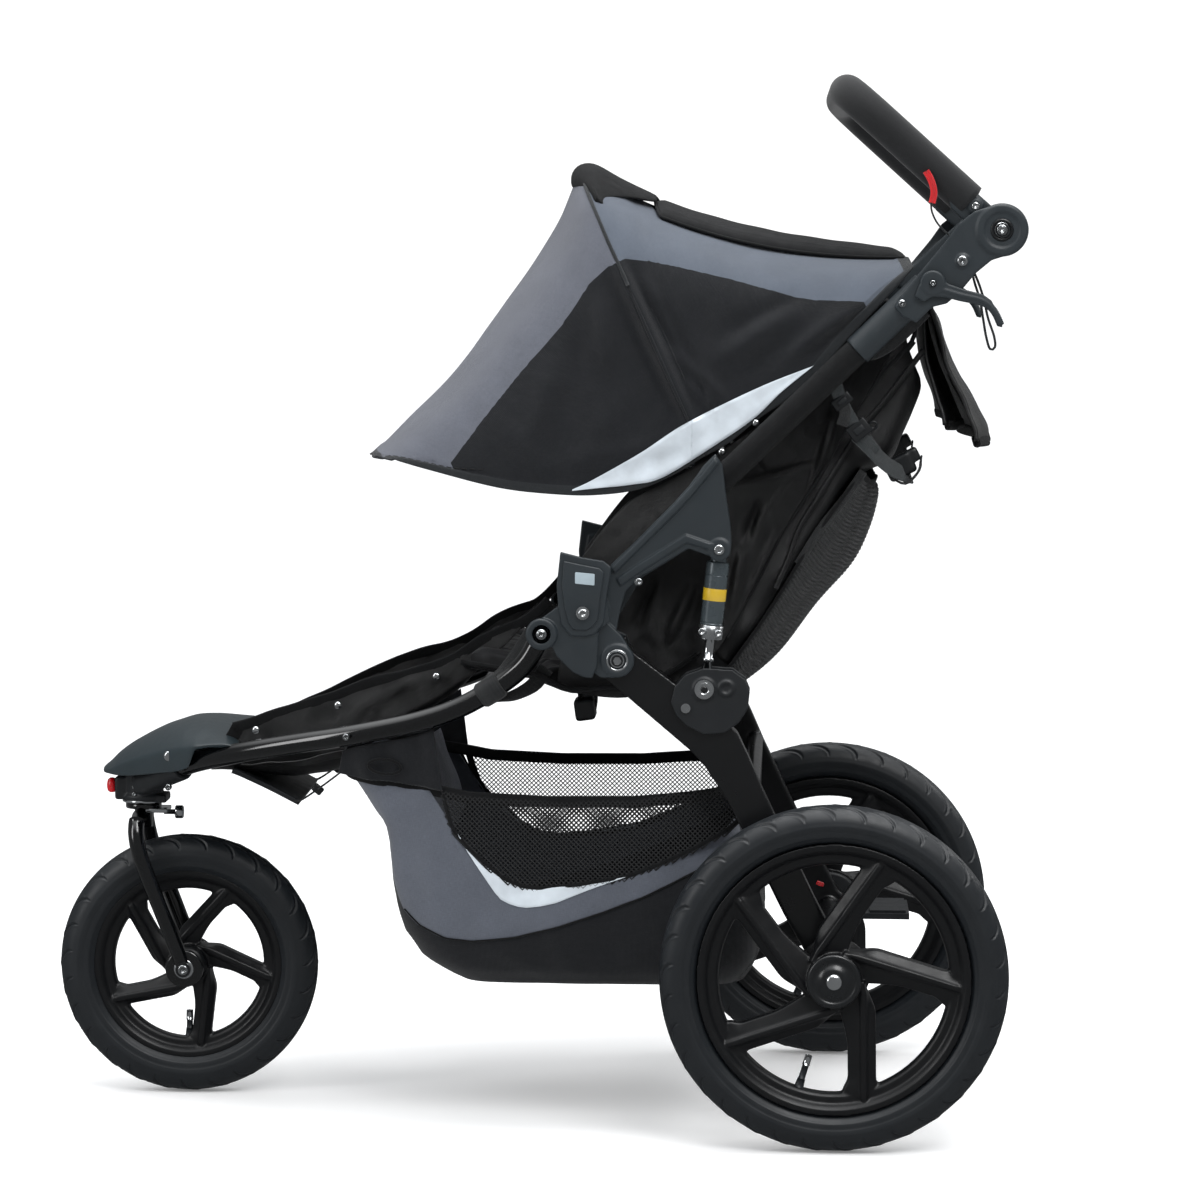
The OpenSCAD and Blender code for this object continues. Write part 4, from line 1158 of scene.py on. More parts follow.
def shock_brackets():
    shapes = [plate(BRACKET, 237.4, 242.6, CAST_DARK), plate(BRACKET, 207.4, 212.6, CAST_DARK),
              lathe([(0.01, 237), (12.5, 237), (13.5, 238), (13.5, 243.6), (12, 244.6),
                     (0.01, 244.6)], SHOCK_FOOT, CAST_DARK, n=48),
              lathe([(4.5, 237), (9, 237), (9.6, 238), (9.6, 243.6), (8.6, 244.6), (6, 244.6),
                     (4.5, 243)], (125, 523), CAST_DARK, n=48, closed=True)]
    on(soften(with_mirrors(shapes), CAST_DARK, 1.05, 5), "shock_brackets_moulded", "swing_arm",
       "casting", "shock_brackets")


# ---------- bolts, pins and caps ----------
def frame_bolts():
    bolts = {"root": [], "rear_carrier": [], "upright": [], "swing_arm": []}
    pivot_ring = [(9.8, 252.4), (12.4, 252.4), (12.9, 253.2), (12.4, 254.6), (10.4, 254.8)]
    handle_ring = [(9.2, 247.8), (12.5, 247.8), (13, 248.6), (12, 249.6), (9.4, 249.8)]
    for s in SIGNS:
        bolts["root"] += [bolt(HUB, 264 * s, 7.6, CHROME, sign=s, h=3.2),
                          bolt(STUB, 263.2 * s, 6.2, STEEL, sign=s, h=2.4)]
        bolts["rear_carrier"] += [
            bolt(LEG_PIVOT, 252.8 * s, 8.6, BLACK_STEEL, sign=s, h=3.4, socket=0.55),
            lathe(pivot_ring, LEG_PIVOT, CHROME, sign=s, n=56, closed=True),
            bolt(SHOCK_TOP, 251.4 * s, 6.2, CHROME, sign=s),
            bolt((226, 645), 249.2 * s, 4.2, CHROME, sign=s, h=2)]
        bolts["upright"] += [
            bolt(HANDLE_PIVOT, 248 * s, 9, CHROME, sign=s, h=3.4),
            lathe(handle_ring, HANDLE_PIVOT, BLACK_STEEL, sign=s, n=56, closed=True),
            bolt(TOP_PIN, 248.6 * s, 6.2, CHROME, sign=s),
            bolt((-70, 962), 246.8 * s, 4.4, CHROME, sign=s, h=2)]
        bolts["swing_arm"] += [
            bolt((171, 500), 242.4 * s, 5.6, CHROME, sign=s, h=2.4),
            lathe([(0.01, 243), (9.4, 243), (9.4, 246.2), (7.6, 247.2), (5, 247.4),
                   (4.2, 244.6), (0.01, 244.4)], SHOCK_FOOT, CHROME, sign=s, n=48),
            lathe([(0.01, 244.4), (4, 244.4), (4, 247.2), (2.4, 247.8), (0.01, 247.9)],
                  SHOCK_FOOT, BLACK_STEEL, sign=s, n=28)]
    for body, parts in bolts.items():
        on(join(parts), "bolt_heads_" + body, body, "steel")


def islands(obj):
    """Points of each loose part of a mesh."""
    work = bmesh.new()
    work.from_mesh(obj.data)
    left = set(work.verts)
    while left:
        stack, points = [left.pop()], []
        while stack:
            vertex = stack.pop()
            points.append(tuple(obj.matrix_world @ vertex.co))
            for edge in vertex.link_edges:
                other = edge.other_vert(vertex)
                if other in left:
                    left.discard(other)
                    stack.append(other)
        yield np.array(points) * 1000 + [ORIGIN_X, 0, 0]
    work.free()


def end_caps(node):
    """A bright cap on every outward end of a node's bolts."""
    caps = []
    for points in islands(node):
        for s in SIGNS:
            outer = (points[:, 1] * s).max()
            if outer < 20:
                continue
            end = points[points[:, 1] * s > outer - 0.6]
            low, high = end.min(0), end.max(0)
            r = (high - low)[[0, 2]].max() / 2
            middle = (high + low) / 2
            if 2.0 < r < 16:
                caps.append(bolt(middle[[0, 2]], outer * s, min(r * 0.92, 6.4), CHROME, sign=s,
                                 h=2.2))
    return caps


def cad_pieces():
    for name in ("fold_pins", "carrier_pins", "shock_pins", "rear_axles", "head_bearings",
                 "front_bearings", "rear_bearings_left", "rear_bearings_right",
                 "brake_pin_left", "brake_pin_right", "latch_plunger_left",
                 "latch_plunger_right", "main_bow", "front_bow"):
        set_material(NODE[name], STEEL)
        bevel_edges(shade(NODE[name]), 0.4, 2)
    caps = {}
    for name, body in (("frame_bolts", "root"), ("casting_bolts", "upright"),
                       ("front_axle", "fork")):
        set_material(NODE[name], BLACK_STEEL)
        bevel_edges(shade(NODE[name]), 0.4, 2)
        found = end_caps(NODE[name])
        if found:
            caps[body] = found
    for body, parts in caps.items():
        on(join(parts), "bolt_caps_" + body, body, "steel")
    for name, width in (("brake_housings", 1), ("canopy_mounts", 1), ("brake_pedal", 1.8)):
        set_material(NODE[name], CAST_DARK)
        bevel_edges(NODE[name], width, 3)


def brake_housings():
    dish = [(8.2, 237.4), (38, 237.4), (40, 239), (40, 243.5), (37, 246), (30, 246.6),
            (26, 245), (20, 245), (18, 247), (8.2, 247)]
    lug = [(-48, REAR_R - 8), (-44, REAR_R + 10), (-10, REAR_R + 14), (-10, REAR_R - 14)]
    parts = [lathe(dish, REAR_AXLE, CAST_DARK, sign=s, n=72, closed=True) for s in SIGNS]
    parts += [plate(lug, 237.6 * s, 246 * s, CAST_DARK) for s in SIGNS]
    on(soften(parts, CAST_DARK, 1.4, 4), "brake_housings_moulded", "swing_arm", "casting",
       "brake_housings")


# ---------- nose cover ----------
# sections: x, half width, top z at the middle, shoulder z, low edge z
NOSE_SECTIONS = [
    (700, 142, 440, 437.5, 434), (705, 143, 445, 439.5, 435), (714, 143, 450, 441, 435.5),
    (728, 139, 454, 440, 435), (742, 134, 456.5, 438, 433), (750, 131, 457, 436.5, 430),
    (755, 128, 457.3, 435, 418), (760, 124, 457.4, 433.5, 409), (770, 115, 456.5, 431, 404),
    (785, 100, 452, 427, 400), (800, 86, 447, 422, 397), (815, 73, 440, 417, 394),
    (830, 60, 432, 411, 391), (845, 48, 423, 405, 389), (858, 37, 413, 399, 388),
    (868, 26, 403, 394, 388.6), (875, 15, 397, 392, 389), (878, 5, 393.5, 391.4, 390.4)]
NOSE_SHOULDER = 0.68                   # share of the half section taken by the top


def nose_section(x, width, top, shoulder, low):
    row = []
    for u in [-1 + j / 30 for j in range(61)]:
        a = abs(u)
        if a < NOSE_SHOULDER:
            q = a / NOSE_SHOULDER
            y = width * q ** 0.92
            z = shoulder + (top - shoulder) * (1 - q ** 2.2)
        else:                          # the flank falls inwards
            q = (a - NOSE_SHOULDER) / (1 - NOSE_SHOULDER)
            y = width * (1 + 0.012 * math.sin(q * math.pi)) - width * 0.05 * q
            z = shoulder - (shoulder - low) * q ** 0.9
        row.append((x, math.copysign(y, u), z))
    return row


def nose_cover():
    """Saddle-shaped shell over the head, lofted from sections along X."""
    rows = np.array([nose_section(*section) for section in NOSE_SECTIONS])
    place = np.linspace(0, len(rows) - 1, 86)
    i = np.clip(np.floor(place).astype(int), 0, len(rows) - 2)
    t = (place - i)[:, None, None]
    slope = np.gradient(rows, axis=0)
    points = ((2 * t ** 3 - 3 * t ** 2 + 1) * rows[i] + (t ** 3 - 2 * t ** 2 + t) * slope[i]
              + (-2 * t ** 3 + 3 * t ** 2) * rows[i + 1] + (t ** 3 - t ** 2) * slope[i + 1])
    obj = tidy(grid(points, NOSE))
    # an open sheet has no outside of its own, so make its top face up
    if obj.data.polygons[len(obj.data.polygons) // 2].normal.z < 0:
        obj.data.flip_normals()
    mod(obj, "SOLIDIFY", thickness=0.0034, offset=-1, use_rim=True)
    mod(obj, "SUBSURF", levels=1, render_levels=1)
    on(shade(bake(obj)), "nose_cover_shell", "root", "nose_cover", "fender")
    screw = [(0.01, 0), (6, 0), (6.4, 1), (5.6, 2.6), (3.6, 3.4), (0.01, 3.6)]
    on(join([lathe(screw, (785, 96.5 * s, 420), CHROME, sign=s, n=40) for s in SIGNS]),
       "nose_cover_screws", "root", "steel")


hub_plates()
rear_castings()
top_castings()
release_levers()
uprights()
head_housing()
rear_legs()
for side, sign in SIDES:
    shock(side, sign)
shock_brackets()
frame_bolts()
cad_pieces()
brake_housings()
nose_cover()


# ---------- canopy ----------
CANOPY_HALF = 213.0
CANOPY_MID = (120, 0, 800.0)           # a point inside, for turning normals outwards
CROSS_POWER = 1.95                     # superellipse power across the canopy
HOOP_FOOT = (152, 786)
FRONT_HEM = spline([(529, 785), (467, 768), (386, 748), (318, 741), (272, 741), (226, 748),
                    (185, 766), HOOP_FOOT])
FRONT_RIDGE = spline([(550, 776), (517, 808), (455, 875), (405, 945), (367, 996), (342, 1034),
                      (327, 1061), (317, 1084), (311, 1099), (302, 1112)])
REAR_HEM = spline([HOOP_FOOT, (124, 802), (90, 830), (56, 853), (28, 876), (-11, 922),
                   (-51, 965), (-84, 1001)])
REAR_RIDGE = spline([(302, 1112), (288, 1109), (271, 1101), (255, 1092), (232, 1078),
                     (162, 1053), (92, 1035), (28, 1024), (-80, 1012)])
# top edge of the black side panels
FRONT_BLACK = [(251, 1006), (268, 997), (285, 980), (319, 929), (370, 871), (410, 819),
               (445, 773), (455, 764)]
REAR_BLACK = [(251, 1006), (242, 1009), (217, 1007), (182, 1000), (103, 981), (29, 964),
              (-45, 961)]
CANOPY_FOLDS = [
    (251, 1003, 163, 815, 3.4, 7), (268, 996, 186, 822, -2.2, 10), (236, 998, 140, 830, -2.6, 9),
    (222, 985, 158, 868, 3.2, 7), (205, 960, 152, 862, -2.4, 7), (190, 905, 128, 852, 2.4, 8),
    (150, 846, 172, 872, 2.6, 5), (140, 828, 150, 862, 2.2, 5), (142, 893, 60, 950, 3.0, 13),
    (110, 880, 30, 930, -2.6, 12), (72, 897, -22, 955, 3.2, 12), (120, 930, 40, 972, -2.2, 12),
    (40, 900, -35, 950, -2.0, 10), (272, 960, 262, 880, 2.4, 10), (300, 940, 300, 850, -2.0, 14),
    (330, 880, 352, 800, 2.2, 16), (240, 860, 300, 770, 1.8, 18), (380, 820, 330, 760, 1.6, 16),
    (200, 800, 300, 780, 1.6, 12), (170, 790, 250, 765, -1.4, 9)]
# a point at the hoop's foot, in metres
HOOP_POINT = vec_m(HOOP_FOOT[0], 0, HOOP_FOOT[1])


def front_power(u):
    return 1.0 + 7.0 * np.power(u, 0.75)


def rear_power(u):
    return 8.0 - 6.4 * np.power(u, 0.75)


def canopy_piece(obj, name, rear, *nodes):
    rename(obj, name)
    if nodes:
        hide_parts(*nodes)
    if rear:
        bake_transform(obj)
    else:
        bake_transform(obj)


def hem_to_ridge(hem, ridge, power):
    """One cross line of the canopy, from the left hem up to the ridge."""
    th = np.linspace(0, math.pi / 2, 260)
    f = np.sin(th) ** (2 / power)
    y = CANOPY_HALF * np.cos(th) ** (2 / CROSS_POWER)
    return np.stack([hem[0] + (ridge[0] - hem[0]) * f, y, hem[1] + (ridge[1] - hem[1]) * f], 1)


def canopy_sheet(name, hem, ridge, power, black_edge, rear):
    """One half of the canopy. Columns run from the left hem over the ridge to the right hem:
    hem_n of hem, black_n of side panel with it, then top_n up to the ridge."""
    count = 110 - 4
    black_n, top_n, hem_n = 34, 34, 4
    if rear:
        shares = np.r_[np.linspace(0, 0.95, count), 0.962, 0.976, 0.988, 1.0]
    else:
        shares = np.r_[0, 0.012, 0.024, 0.033, np.linspace(0.05, 1, count)]
    rows, solid = [], []
    edge_x = [q[0] for q in black_edge]
    for u in shares:
        line = hem_to_ridge(at_share(hem, u), at_share(ridge, u), power(u))
        d = lengths(line)
        s = d / d[-1]
        x, z = line[:, 0], line[:, 2]
        within = x > min(edge_x) if rear else x < max(edge_x)
        above = ~((z < interp(black_edge, x)) & within)
        split = s[np.argmax(above) if above.any() else len(s) - 1]
        solid.append(split > 0.06)
        split = max(split, 0.06)
        hem_share = min(12.0 / d[-1], 0.04)
        t = np.r_[np.linspace(0, hem_share, hem_n + 1),
                  np.linspace(hem_share, split, black_n - hem_n + 1)[1:],
                  np.linspace(split, 1, top_n + 1)[1:]]
        rows.append(np.stack([np.interp(t, s, line[:, k]) for k in range(3)], 1))
    half = np.array(rows)
    full = np.concatenate([half, (half * [1, -1, 1])[:, -2::-1]], 1)
    nu, nv = full.shape[:2]
    normals = grid_normals(full)
    normals *= np.sign(((full - CANOPY_MID) * normals).sum(2))[..., None]
    flank = smoothstep(150, 205, np.abs(full[..., 1]))
    j = np.arange(nv)
    edge = np.minimum(j, nv - 1 - j)[None, :]
    fade = smoothstep(1, 9, edge) * np.ones((nu, 1))
    lift = (2.9 * crease(full[..., 0], full[..., 2], CANOPY_FOLDS) * flank
            * (0.25 + 0.75 * fade))
    lift += (1.1 * soft_noise(full, 70, 3.1) * fade
             + 0.7 * soft_noise(full * [1, 1, 0.6], 30, 7.7) * fade * flank)
    # cloth pulled a little hollow between the hoops
    lift -= (1 - flank) * 3.0 * np.sin(math.pi * shares)[:, None] ** 2
    end_rows = np.zeros((nu, 1), bool)
    end_rows[-4:] = rear
    end_rows[:4] |= not rear
    lift += 1.2 * ((edge <= hem_n) | end_rows)
    full = full + normals * lift[..., None]
    slots = []
    for i in range(nu - 1):
        for q in range(nv - 1):
            e = min(q, nv - 2 - q)
            if e < hem_n or (not rear and i < 3) or (rear and i >= nu - 4):
                slots.append(2)
            elif e < black_n and solid[i] and solid[i + 1]:
                slots.append(1)
            else:
                slots.append(0)
    obj = grid(full, [BLUE_GREY if rear else GREY, CANOPY_BLACK, HEM], slots=slots)
    canopy_piece(thick(tidy(obj, merge=1e-6), 1.6), name, rear, "canopy")
    return obj, full


front_sheet, front_grid = canopy_sheet("canopy_front_sheet", FRONT_HEM, FRONT_RIDGE, front_power,
                                       FRONT_BLACK, False)
rear_sheet, rear_grid = canopy_sheet("canopy_rear_sheet", REAR_HEM, REAR_RIDGE, rear_power,
                                     REAR_BLACK, True)


def on_rear(u, y):
    """Point of the rear canopy a share u back from the hoop, before its folds."""
    hem, ridge = at_share(REAR_HEM, u), at_share(REAR_RIDGE, u)
    f = np.power(np.clip(1 - np.power(abs(y) / CANOPY_HALF, CROSS_POWER), 0, 1),
                 1 / rear_power(u))
    x, z = hem + (ridge - hem) * f
    return np.array([x, y, z])


def hoop_seam():
    """Cord along the hoop, over the top from side to side."""
    canopy_piece(cord(rear_grid[0, 30:-30:2], 6, 2.1, 12, HEM, (1, 0, 0)), "canopy_hoop_seam",
                 True)
    ridges = []
    columns = rear_grid.shape[1]
    for row, low, high, r in ((0, 7, 31, 2.3), (5, 12, 27, 1.9)):
        for part in (rear_grid[row, low:high], rear_grid[row, columns - high:columns - low]):
            path = spline(part[::2], 6)
            scale = np.sin(np.linspace(0.08, 0.92, len(path)) * math.pi) ** 0.5
            ridges.append(sweep(path, circle(r, 14), CANOPY_BLACK, side=(1, 0, 0), scale=scale))
    canopy_piece(join(ridges), "canopy_hoop_ridges", True)


ROLL_SECTION = np.array([
    (313.5, 1093), (316, 1101), (315, 1110), (309.5, 1117.5), (300, 1121.5), (290, 1121),
    (279, 1116.5), (266, 1108), (250, 1099.5), (232, 1091), (213, 1083), (213, 1078),
    (234, 1084), (254, 1093), (272, 1102.5), (288, 1111), (299, 1112), (306, 1104)])


def top_roll():
    """Wrapped roll of cloth on top of the hoop, shrinking towards the sides."""
    middle = np.array([296.0, 1108.0])
    start = on_rear(0.0, 0.0)
    rings = []
    for y in np.linspace(-168, 168, 45):
        shift = on_rear(0.0, y) - start
        k = 1 - 0.88 * smoothstep(64, 162, abs(y))
        section = (middle + [0, 6 * (1 - k)]
                   + (ROLL_SECTION - middle) * [k, 0.14 + 0.86 * k])
        rings.append([(x + shift[0], y, z + shift[2] + 0.5) for x, z in section])
    rings = np.array(rings)
    rings[..., 2] += 0.8 * soft_noise(rings, 24, 1.2)
    obj = loft(rings, BIND, uv=arc_uv(rings))
    mod(obj, "SUBSURF", levels=1, render_levels=1)
    canopy_piece(shade(bake(obj)), "canopy_top_roll", True)


def window_cover():
    """Raised panel along the top of the rear canopy, with piping round it."""
    nu, nv = 60, 34
    top, bottom = np.zeros((nu, nv, 3)), np.zeros((nu, nv, 3))
    for i, u in enumerate(np.linspace(0.245, 0.985, nu)):
        for j, y in enumerate(np.linspace(-120, 120, nv)):
            q = on_rear(u, y)
            e = (min(1.0, (1 - abs(y) / 121) * 9) * min(1.0, i / 2.5 + 0.25)
                 * min(1.0, (nu - 1 - i) / 3 + 0.2))
            puff = 1.2 * math.sin(math.pi * i / (nu - 1)) + 0.3 * math.sin(i * 0.55 + y * 0.01)
            top[i, j] = q + [0, 0, 2.2 + 8.0 * math.sqrt(max(e, 0)) + puff * e]
            bottom[i, j] = q + [0, 0, 1.0]
    rings = np.concatenate([top, bottom[:, ::-1]], 1)
    obj = shade(loft(rings, FLAP, uv=arc_uv(rings)))
    canopy_piece(sharp_by_angle(obj, 60), "window_cover", True)
    line = [on_rear(u, 121) + [0, 0, 3] for u in np.linspace(0.985, 0.245, 40)]
    line += [on_rear(0.24, y) + [0, 0, 4] for y in np.linspace(112, -112, 20)]
    line += [on_rear(u, -121) + [0, 0, 3] for u in np.linspace(0.245, 0.985, 40)]
    canopy_piece(cord(line, 8, 1.9, 10, BIND, (0, 0, 1)), "window_cover_piping", True)


def front_stitches():
    """Rows of stitches on both flanks of the front panel, above its hem."""
    row, last = int(front_grid.shape[1] * 0.07), int(front_grid.shape[0] * 0.36)
    line = front_grid[3:last, row]
    normals = np.cross(np.gradient(line, axis=0), front_grid[3:last, row + 1] - line)
    normals /= np.linalg.norm(normals, axis=1)[:, None] + 1e-9
    normals *= np.sign(line[:, 1] * normals[:, 1])[:, None]
    d, raised = lengths(line), line + normals * 1.15
    starts = np.arange(4, d[-1] - 8, 9.0)
    parts = []
    for start in starts:
        a, b = [np.array([np.interp(q, d, raised[:, k]) for k in range(3)])
                for q in (start, start + 5.6)]
        for s in SIGNS:
            parts.append(sweep(np.array([a, (a + b) / 2, b]) * [1, s, 1], circle(0.75, 8),
                               THREAD))
    canopy_piece(join(parts), "canopy_front_stitches", False)


def hem_studs():
    profile = [(0.01, 214.5), (3.6, 214.5), (4.2, 215.2), (3.6, 216.6), (2.0, 217.2),
               (0.01, 217.4)]
    places = ((-5.54, 903.64), (93.75, 824.5), (132.21, 791.14))
    canopy_piece(join([lathe(profile, place, CHROME, sign=s, n=28) for s in SIGNS
                       for place in places]), "hem_studs", True)


hoop_seam()
top_roll()
window_cover()
front_stitches()
hem_studs()


# ---------- strips laid on cloth ----------
def side_skin(*objs):
    """A function giving the y of the objects' outside face at (x, z), or a default."""
    points, faces = [], []
    for obj in objs:
        first = len(points)
        points += [obj.matrix_world @ v.co for v in obj.data.vertices]
        faces += [[first + i for i in p.vertices] for p in obj.data.polygons]
    tree = BVHTree.FromPolygons(points, faces)

    def outer_y(x, z, sign, default):
        hit = tree.ray_cast(vec_m(x, sign * 400, z), Vector((0, -sign, 0)))[0]
        return hit.y * 1000 if hit is not None and hit.y * sign > 0.05 else default
    return outer_y


def overlay(top, bottom, x0, x1, sign, skin, n=70, default_y=213.0):
    """A thin strip of tape between two curves, laid on a skin."""
    k = 9
    xs = np.linspace(x0, x1, n)
    points = np.zeros((n, k, 3))
    for i, (x, high, low) in enumerate(zip(xs, interp(top, xs), interp(bottom, xs))):
        for q in range(k):
            z = low + (max(high, low + 0.15) - low) * q / (k - 1)
            points[i, q] = (x, skin(x, z, sign, sign * default_y), z)
    # even out single misses
    y = points[:, :, 1]
    for _ in range(2):
        y[1:-1] = np.median(np.stack([y, np.roll(y, 1, 0), np.roll(y, -1, 0)]), 0)[1:-1]
    y += sign * 0.9
    return thick(grid(points, TAPE), 0.7)


# silver wedge above the hem
WEDGE_TOP = spline([(303, 747), (280, 758), (226, 789), (173, 824), (91, 865), (29, 890)], 5)
WEDGE_LOW = spline([(303, 745.5), (272, 749), (236, 753), (201, 761), (149, 793), (97, 829),
                    (65, 860), (29, 890)], 5)
canopy_skin = side_skin(front_sheet, rear_sheet)
for side, sign in SIDES:
    canopy_piece(overlay(WEDGE_TOP, WEDGE_LOW, 29, 167.5, sign, canopy_skin),
                 "silver_wedge_rear_" + side, True)
    canopy_piece(overlay(WEDGE_TOP, WEDGE_LOW, 166, 303, sign, canopy_skin),
                 "silver_wedge_front_" + side, False)

# ---------- basket ----------
# (z, x) of the front and back walls, (z, half width) of the sides
BASKET_FRONT = [(167, 440), (172, 452), (194, 484), (221, 503), (249, 512), (293, 518),
                (328, 521), (350, 526), (372, 541), (398, 560), (416, 573)]
BASKET_BACK = [(166, 100), (169, 96), (200, 84), (235, 80), (290, 90), (340, 100), (400, 118)]
BASKET_HALF = [(165, 168), (185, 184), (240, 198), (310, 203), (385, 199), (420, 190)]
BASKET_RIM = [(573, 416), (507, 408), (453, 399), (422, 393), (334, 389), (232, 390), (134, 398),
              (100, 402)]
GREY_LOW = [(560, 300), (515, 291), (507, 278), (498, 254), (480, 237), (449, 223), (418, 220),
            (367, 226), (316, 240), (265, 257), (215, 278), (181, 295), (147, 313), (118, 330),
            (80, 352)]
NET_LOW = [(453, 395), (448, 378), (444, 362), (436, 347), (420, 329), (401, 313), (388, 302),
           (374, 293), (358, 287), (340, 285), (299, 289), (238, 300), (198, 316), (160, 334),
           (124, 354), (104, 372)]
TAPE_LOW = [(434, 347), (424, 328), (412, 310), (391, 279), (384, 271), (374, 266), (364, 263),
            (354, 262), (338, 264), (320, 268), (276, 286), (238, 300)]
BASKET_FOLDS = [
    (520, 400, 500, 260, 2.6, 12), (490, 380, 478, 240, -2.0, 14), (462, 330, 440, 230, 2.2, 12),
    (430, 260, 350, 200, 1.8, 12), (540, 380, 520, 320, 2.0, 9), (330, 255, 300, 175, 2.4, 14),
    (270, 260, 250, 180, -2.0, 14), (220, 270, 175, 190, 2.6, 14), (170, 290, 130, 200, 2.0, 14),
    (400, 215, 330, 180, 1.6, 10), (160, 320, 135, 270, 2.0, 8), (195, 300, 180, 262, 1.8, 7),
    (230, 288, 218, 256, 1.4, 7)]
BASKET_MID = 300                       # x of the basket's middle
ROUND_N = 200                          # points round the basket
BLACK_N, GREY_N, TOP_N = 16, 12, 8     # rows: below the grey, grey, above it


def half_width(z):
    return float(interp(BASKET_HALF, z))


def belly(z):
    """Share of the sides' bulge at a height."""
    return np.sin(np.clip((z - 170) / 225, 0, 1) * math.pi)


def outline(z, k):
    """k-th point round the basket at a height, from the front's middle to the left."""
    front, back = float(interp(BASKET_FRONT, z)), float(interp(BASKET_BACK, z))
    t = k / ROUND_N * 2 * math.pi
    cos, sin, power = math.cos(t), math.sin(t), 6.5
    size = (abs(cos) ** power + abs(sin) ** power) ** (1 / power)
    return (front + back) / 2 + (front - back) / 2 * cos / size, half_width(z) * sin / size


def settle(line, k, z, rounds):
    """Height at which the k-th column meets a line drawn on the side."""
    for _ in range(rounds):
        z = float(interp(line, outline(z, k)[0]))
    return z


def basket_columns():
    """Points up each column of the wall, and whether the column carries net."""
    columns, netted = [], []
    low = 167.0
    for k in range(ROUND_N):
        rim = settle(BASKET_RIM, k, 400.0, 6)
        grey = min(settle(GREY_LOW, k, 290.0, 8), rim - 20)
        x, y = outline(360, k)
        net = abs(y) > 150 and 104 < x < 452
        upper = min(settle(NET_LOW, k, 350.0, 8), rim - 6) if net else rim - 14
        column = []
        for z in np.r_[np.linspace(low, grey, BLACK_N + 1),
                       np.linspace(grey, upper, GREY_N + 1)[1:],
                       np.linspace(upper, rim, TOP_N + 1)[1:]]:
            x, y = outline(max(z, 168), k)
            q = (z - low) / max(1, rim - low)
            tuck = 1 - 0.035 * (1 - min(1, q * 6)) ** 2
            column.append(((x - BASKET_MID) * tuck + BASKET_MID, y * tuck, z))
        columns.append(column)
        netted.append(net)
    return np.array(columns), netted


def basket_wall(wall):
    """The wall with its bulge and folds."""
    out = (wall - [BASKET_MID, 0, 0]) * [1, 1, 0]
    out /= np.linalg.norm(out, axis=2)[..., None]
    z = wall[..., 2]
    flank = smoothstep(150, 190, np.abs(wall[..., 1]))
    lift = 5.0 * belly(z) * flank + 1.7 * crease(wall[..., 0], z, BASKET_FOLDS) * flank
    soft = 2.2 * soft_noise(wall, 80, 11.0) + 1.2 * soft_noise(wall, 34, 4.0)
    return wall + out * (lift + soft * np.clip((395 - z) / 25, 0, 1))[..., None]


def basket_shell(wall, netted):
    rows = wall.shape[1]
    faces, slots = [], []              # slot 0 is grey, 1 is black
    for k in range(ROUND_N):
        k2 = (k + 1) % ROUND_N
        for r in range(rows - 1):
            if r >= BLACK_N + GREY_N and netted[k] and netted[k2]:
                continue
            faces.append((k * rows + r, k * rows + r + 1, k2 * rows + r + 1, k2 * rows + r))
            x = wall[k, r, 0]
            if r < BLACK_N:
                slots.append(1)
            elif r < BLACK_N + GREY_N:
                slots.append(0 if x > 110 else 1)
            else:
                slots.append(0 if x > 440 else 1)
    # sagging floor in shrinking rings
    rings, base = 7, wall[:, 0]
    middle = np.array([BASKET_MID, 0, 0])
    points = [wall.reshape(-1, 3)]
    first = ROUND_N * rows
    for q in range(1, rings + 1):
        s = 1 - q / rings
        ring = middle + (base - middle) * [s, s, 1]
        ring[:, 2] = 166.5 - 5.5 * (1 - s ** 2) + 1.2 * np.sin(ring[:, 0] * 0.05)
        points.append(ring)
        inner = first + (q - 1) * ROUND_N
        for k in range(ROUND_N):
            k2 = (k + 1) % ROUND_N
            a, b = (k * rows, k2 * rows) if q == 1 else (inner - ROUND_N + k, inner - ROUND_N + k2)
            faces.append((a, b, inner + k2, inner + k))
            slots.append(1)
    points = np.concatenate(points)
    x, y, z = points.T
    uv = np.stack([np.where(np.abs(y) > 140, x, y), z], 1)
    obj = make(points, faces, [BASKET_GREY, BASKET_BLACK], slots, uv=uv)
    return thick(tidy(obj, merge=1e-5), 1.6)


def net_panel(sign):
    """Diamond netting between the grey cloth and the rim."""
    half_cell = 5.6 / 2
    points, faces, seen = [], [], {}

    def vertex(i, j):
        if (i, j) not in seen:
            x, z = 104 + i * half_cell, 280 + j * half_cell
            y = half_width(z) + 5.0 * belly(z)
            if sign < 0:
                y += 1.5 * math.sin(x * 0.03)
            seen[i, j] = len(points)
            points.append((x, sign * y, z))
        return seen[i, j]

    for i in range(int(348 / half_cell)):
        for j in range(int(125 / half_cell)):
            x, z = 104 + (i + 1) * half_cell, 280 + j * half_cell
            if ((i + j) % 2 == 0 and 105 < x < 452
                    and interp(NET_LOW, x) - 3 < z < interp(BASKET_RIM, x) - 1):
                faces.append((vertex(i, j), vertex(i + 1, j - 1), vertex(i + 2, j),
                              vertex(i + 1, j + 1)))
    # the far net takes the lighter grey thread: painted light
    obj = make(points, faces, NET if sign > 0 else NET_PAINTED_LIGHT, smooth=False)
    mod(obj, "WIREFRAME", thickness=0.0027 if sign > 0 else 0.0019, use_replace=True,
        use_even_offset=False, use_boundary=True)
    return shade(bake(obj))


def net_binding(sign):
    line = []
    for x in np.linspace(452, 106, 70):
        z = float(interp(NET_LOW, x))
        line.append((x, sign * (half_width(z) + 5.2 * belly(z)), z))
    return strap(line, 6, 5 if sign > 0 else 9, 2.6, BIND, (0, 0, 1))


